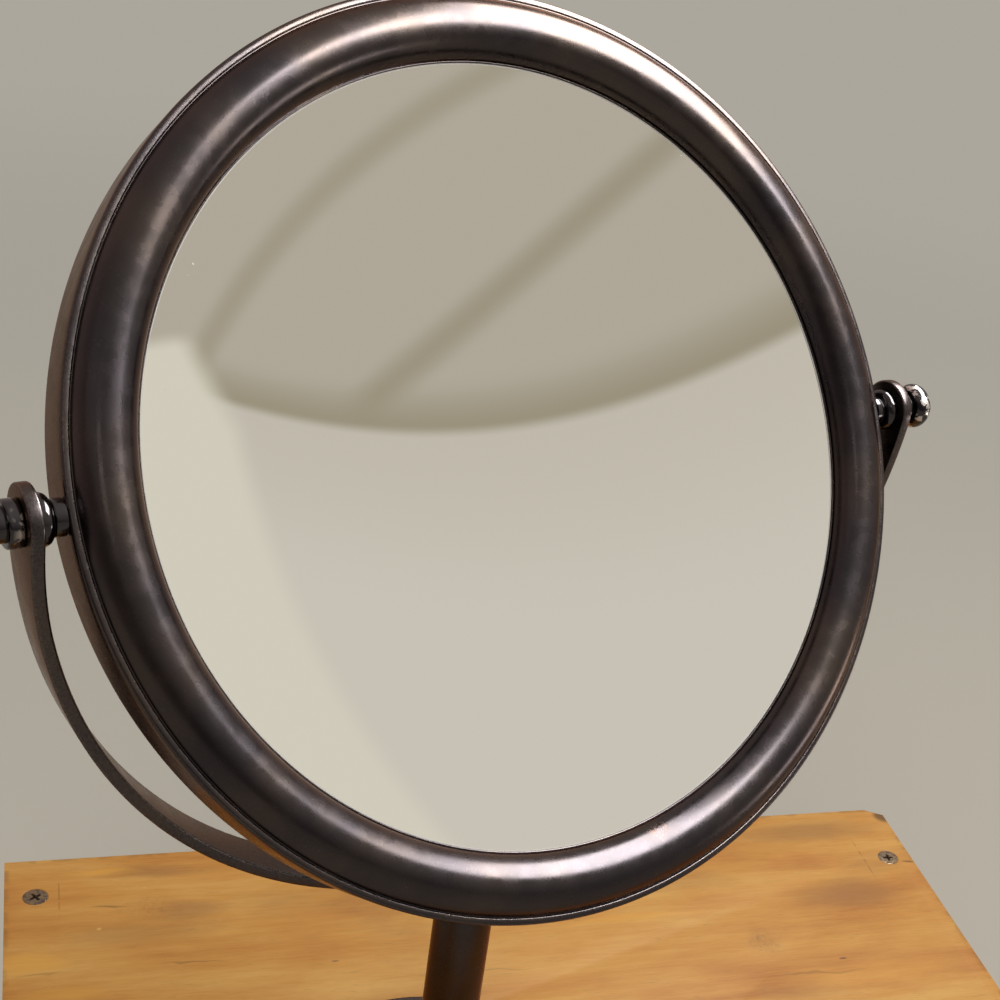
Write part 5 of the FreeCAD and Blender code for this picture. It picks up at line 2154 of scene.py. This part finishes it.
@dataclass
class Studio:
    """Pale floor, soft light and the camera."""

    floor_size: float = 16.0
    floor_colour: Colour = (0.50, 0.47, 0.41)
    floor_fade: Pair = (0.3, 1.7)
    light_colour: Colour = (1.0, 0.975, 0.94)
    light_strength: float = 0.25
    backdrop: Colour = (0.41, 0.385, 0.335)
    bright_side: Colour = (0.80, 0.77, 0.72)
    even_side: Colour = (0.58, 0.555, 0.51)
    dim_side: Colour = (0.15, 0.125, 0.12)
    left_side: Colour = (0.72, 0.58, 0.53)
    bright_way: Triple = (0.540, 0.080, 0.838)
    left_way: Triple = (-0.755, 0.604, 0.252)
    camera_place: Triple = (-0.152625, -0.359421, 0.509842)
    camera_yaw: float = 0.414
    camera_pitch: float = 0.488
    camera_roll: float = -0.195
    focal_share: float = 1.69085
    sensor_width: float = 36.0
    middle_shift: Pair = (-0.17678, 0.08394)
    aim: Triple = (-0.03, -0.01, 0.30)
    cool: Colour = (0.97, 0.98, 1.0)
    clear: Colour = (0.96, 0.99, 0.98)
    glasses: tuple[str, str] = ("magnifying_face", "plain_face")

    def floor(self) -> None:
        """Lay the floor."""
        sheet = Shading("pale_floor")
        place = sheet.place()
        far = sheet.remap(sheet.length(place), *self.floor_fade)
        tone = sheet.remap(sheet.noise(place, 0.35, 2.0), 0.3, 0.7, 0.0, 0.3)
        darker = tuple(part * 0.94 for part in self.floor_colour)
        near = sheet.blend(tone, self.floor_colour, darker)
        finish = sheet.set(colour=sheet.blend(far, near, (0.0, 0.0, 0.0)), roughness=0.85,
                           specular=0.0, glow=self.backdrop,
                           glow_strength=sheet.math("MULTIPLY", far, self.seen(sheet)))
        stage_square("floor", self.floor_size / 2, finish)

    def seen(self, sheet: Patterns) -> Socket:
        """Give 1 on rays from the camera and on reflected and refracted ones.

        Args:
            sheet: The nodes.

        Returns:
            The share, 0 or 1.
        """
        rays = sheet.add("ShaderNodeLightPath").outputs
        either = sheet.math("MAXIMUM", rays["Is Camera Ray"], rays["Is Glossy Ray"])
        return sheet.math("MAXIMUM", either, rays["Is Transmission Ray"])

    def share(self, sheet: Patterns, way: Sequence[float], low: float, high: float) -> Socket:
        """Give 0 to 1 as the cosine between a ray and a direction goes from low to high.

        Args:
            sheet: The surroundings' nodes.
            way: The direction.
            low: Cosine where the share is 0.
            high: Cosine where the share is 1.

        Returns:
            The share, from 0 to 1.
        """
        node = sheet.add("ShaderNodeVectorMath", operation="DOT_PRODUCT")
        sheet.put(node.inputs[0], sheet.add("ShaderNodeTexCoord").outputs["Generated"])
        node.inputs[1].default_value = Vector(way).normalized()
        return sheet.remap(node.outputs["Value"], low, high)

    def world(self) -> None:
        """Fill the surroundings: even light, and a soft backdrop where it is seen."""
        world = bpy.data.worlds.new("studio")
        bpy.context.scene.world = world
        world.use_nodes = True
        sheet = Patterns(world.node_tree)
        world.node_tree.nodes.clear()
        light = sheet.add("ShaderNodeBackground")
        light.inputs["Color"].default_value = (*self.light_colour, 1.0)
        light.inputs["Strength"].default_value = self.light_strength
        room = sheet.blend(self.share(sheet, self.bright_way, 0.0, 0.75), self.dim_side,
                           self.even_side)
        room = sheet.blend(self.share(sheet, self.bright_way, 0.6, 0.97), room, self.bright_side)
        room = sheet.blend(self.share(sheet, self.left_way, 0.0, 1.2), room, self.left_side)
        camera_ray = sheet.add("ShaderNodeLightPath").outputs["Is Camera Ray"]
        seen = sheet.add("ShaderNodeBackground")
        sheet.put(seen.inputs["Color"], sheet.blend(camera_ray, room, self.backdrop))
        mix = sheet.add("ShaderNodeMixShader")
        sheet.put(mix.inputs["Fac"], self.seen(sheet))
        sheet.put(mix.inputs[1], light.outputs["Background"])
        sheet.put(mix.inputs[2], seen.outputs["Background"])
        output = sheet.add("ShaderNodeOutputWorld")
        sheet.put(output.inputs["Surface"], mix.outputs["Shader"])

    def lamp(self, name: str, way: Sequence[float], distance: float, size: Pair, power: float,
             colour: Colour, lights: bool = True, mirrored: bool = True) -> None:
        """Hang one soft area lamp.

        Args:
            name: The lamp's name.
            way: Direction from the object to the lamp.
            distance: Distance from the object.
            size: Width and height of its face.
            power: Power in watts.
            colour: Colour of its light.
            lights: Whether it lights dull surfaces.
            mirrored: Whether metal and glass show it.
        """
        data = bpy.data.lights.new(name, "AREA")
        data.shape = "RECTANGLE"
        data.size, data.size_y = size
        data.energy = power
        data.color = colour
        lamp = in_scene(name, data)
        ahead = Vector(way).normalized()
        lamp.location = Vector(self.aim) + ahead * distance
        lamp.rotation_euler = (-ahead).to_track_quat("-Z", "Y").to_euler()
        lamp.visible_camera = False
        lamp.visible_diffuse = lights
        lamp.visible_glossy = mirrored
        if not lights:
            self.spare_glasses(lamp)

    def spare_glasses(self, lamp: Thing) -> None:
        """Keep a lamp's reflection out of the two mirror glasses.

        Args:
            lamp: The lamp.
        """
        spared = bpy.data.collections.new(lamp.name + "_spares")
        for name in self.glasses:
            spared.objects.link(bpy.data.objects[name])
        for entry in spared.collection_objects:
            entry.light_linking.link_state = "EXCLUDE"
        lamp.light_linking.receiver_collection = spared

    def lights(self) -> None:
        """Hang the lamps round the object."""
        warm, cool, clear = self.light_colour, self.cool, self.clear
        self.lamp("key_lamp", self.bright_way, 1.5, (1.7, 0.8), 19.0, warm, mirrored=False)
        self.lamp("key_sheen", self.bright_way, 0.5, (0.52, 0.28), 11.6, clear, lights=False)
        self.lamp("left_sheen", (-0.49, -0.60, 0.63), 1.8, (0.9, 0.6), 0.5, warm, lights=False)
        self.lamp("low_sheen", (0.945, -0.201, -0.20), 0.9, (0.40, 0.12), 0.9, warm, lights=False)
        self.lamp("small_lamp", (-0.14, -0.78, 0.61), 1.6, (0.14, 0.10), 0.35, warm)
        self.lamp("front_fill", (-0.25, -0.85, 0.46), 1.8, (1.0, 0.8), 9.0, warm, mirrored=False)
        self.lamp("left_fill", (-0.85, 0.35, 0.40), 1.8, (1.0, 0.8), 6.0, cool, mirrored=False)

    def camera(self) -> None:
        """Set the camera."""
        yaw, pitch, roll = self.camera_yaw, self.camera_pitch, self.camera_roll
        ahead = Vector((math.sin(yaw) * math.cos(pitch), math.cos(yaw) * math.cos(pitch),
                        -math.sin(pitch)))
        level = Vector((math.cos(yaw), -math.sin(yaw), 0.0))
        down = ahead.cross(level)
        right = level * math.cos(roll) + down * math.sin(roll)
        under = down * math.cos(roll) - level * math.sin(roll)
        data = bpy.data.cameras.new("camera")
        data.sensor_width = self.sensor_width
        data.lens = self.sensor_width * self.focal_share
        data.shift_x, data.shift_y = self.middle_shift
        data.clip_start = 0.01
        camera = in_scene("camera", data)
        turn = Matrix((right, -under, -ahead)).transposed().to_4x4()
        camera.matrix_world = Matrix.Translation(Vector(self.camera_place)) @ turn
        bpy.context.scene.camera = camera

    def build(self) -> None:
        """Build the studio."""
        bpy.context.scene.view_settings.view_transform = "Standard"
        self.floor()
        RoomCard().build()
        self.world()
        self.lights()
        self.camera()


def main() -> None:
    """Build the object and its studio."""
    logging.basicConfig(level=logging.INFO, format="%(name)s: %(message)s")
    lathe = Lathe()
    shop = Workshop(lathe, Fasteners(lathe), BronzeFinish().make(), BlackNickelFinish().make(),
                    ScrewSteelFinish().make(), SilveredGlassFinish().make(), FeltFinish().make())
    for assembly in (Case(), Drawer(), Stand(), Yoke(), Pivots(), MirrorHead()):
        assembly.build(shop)
    Studio().build()


if __name__ == "__main__":
    main()
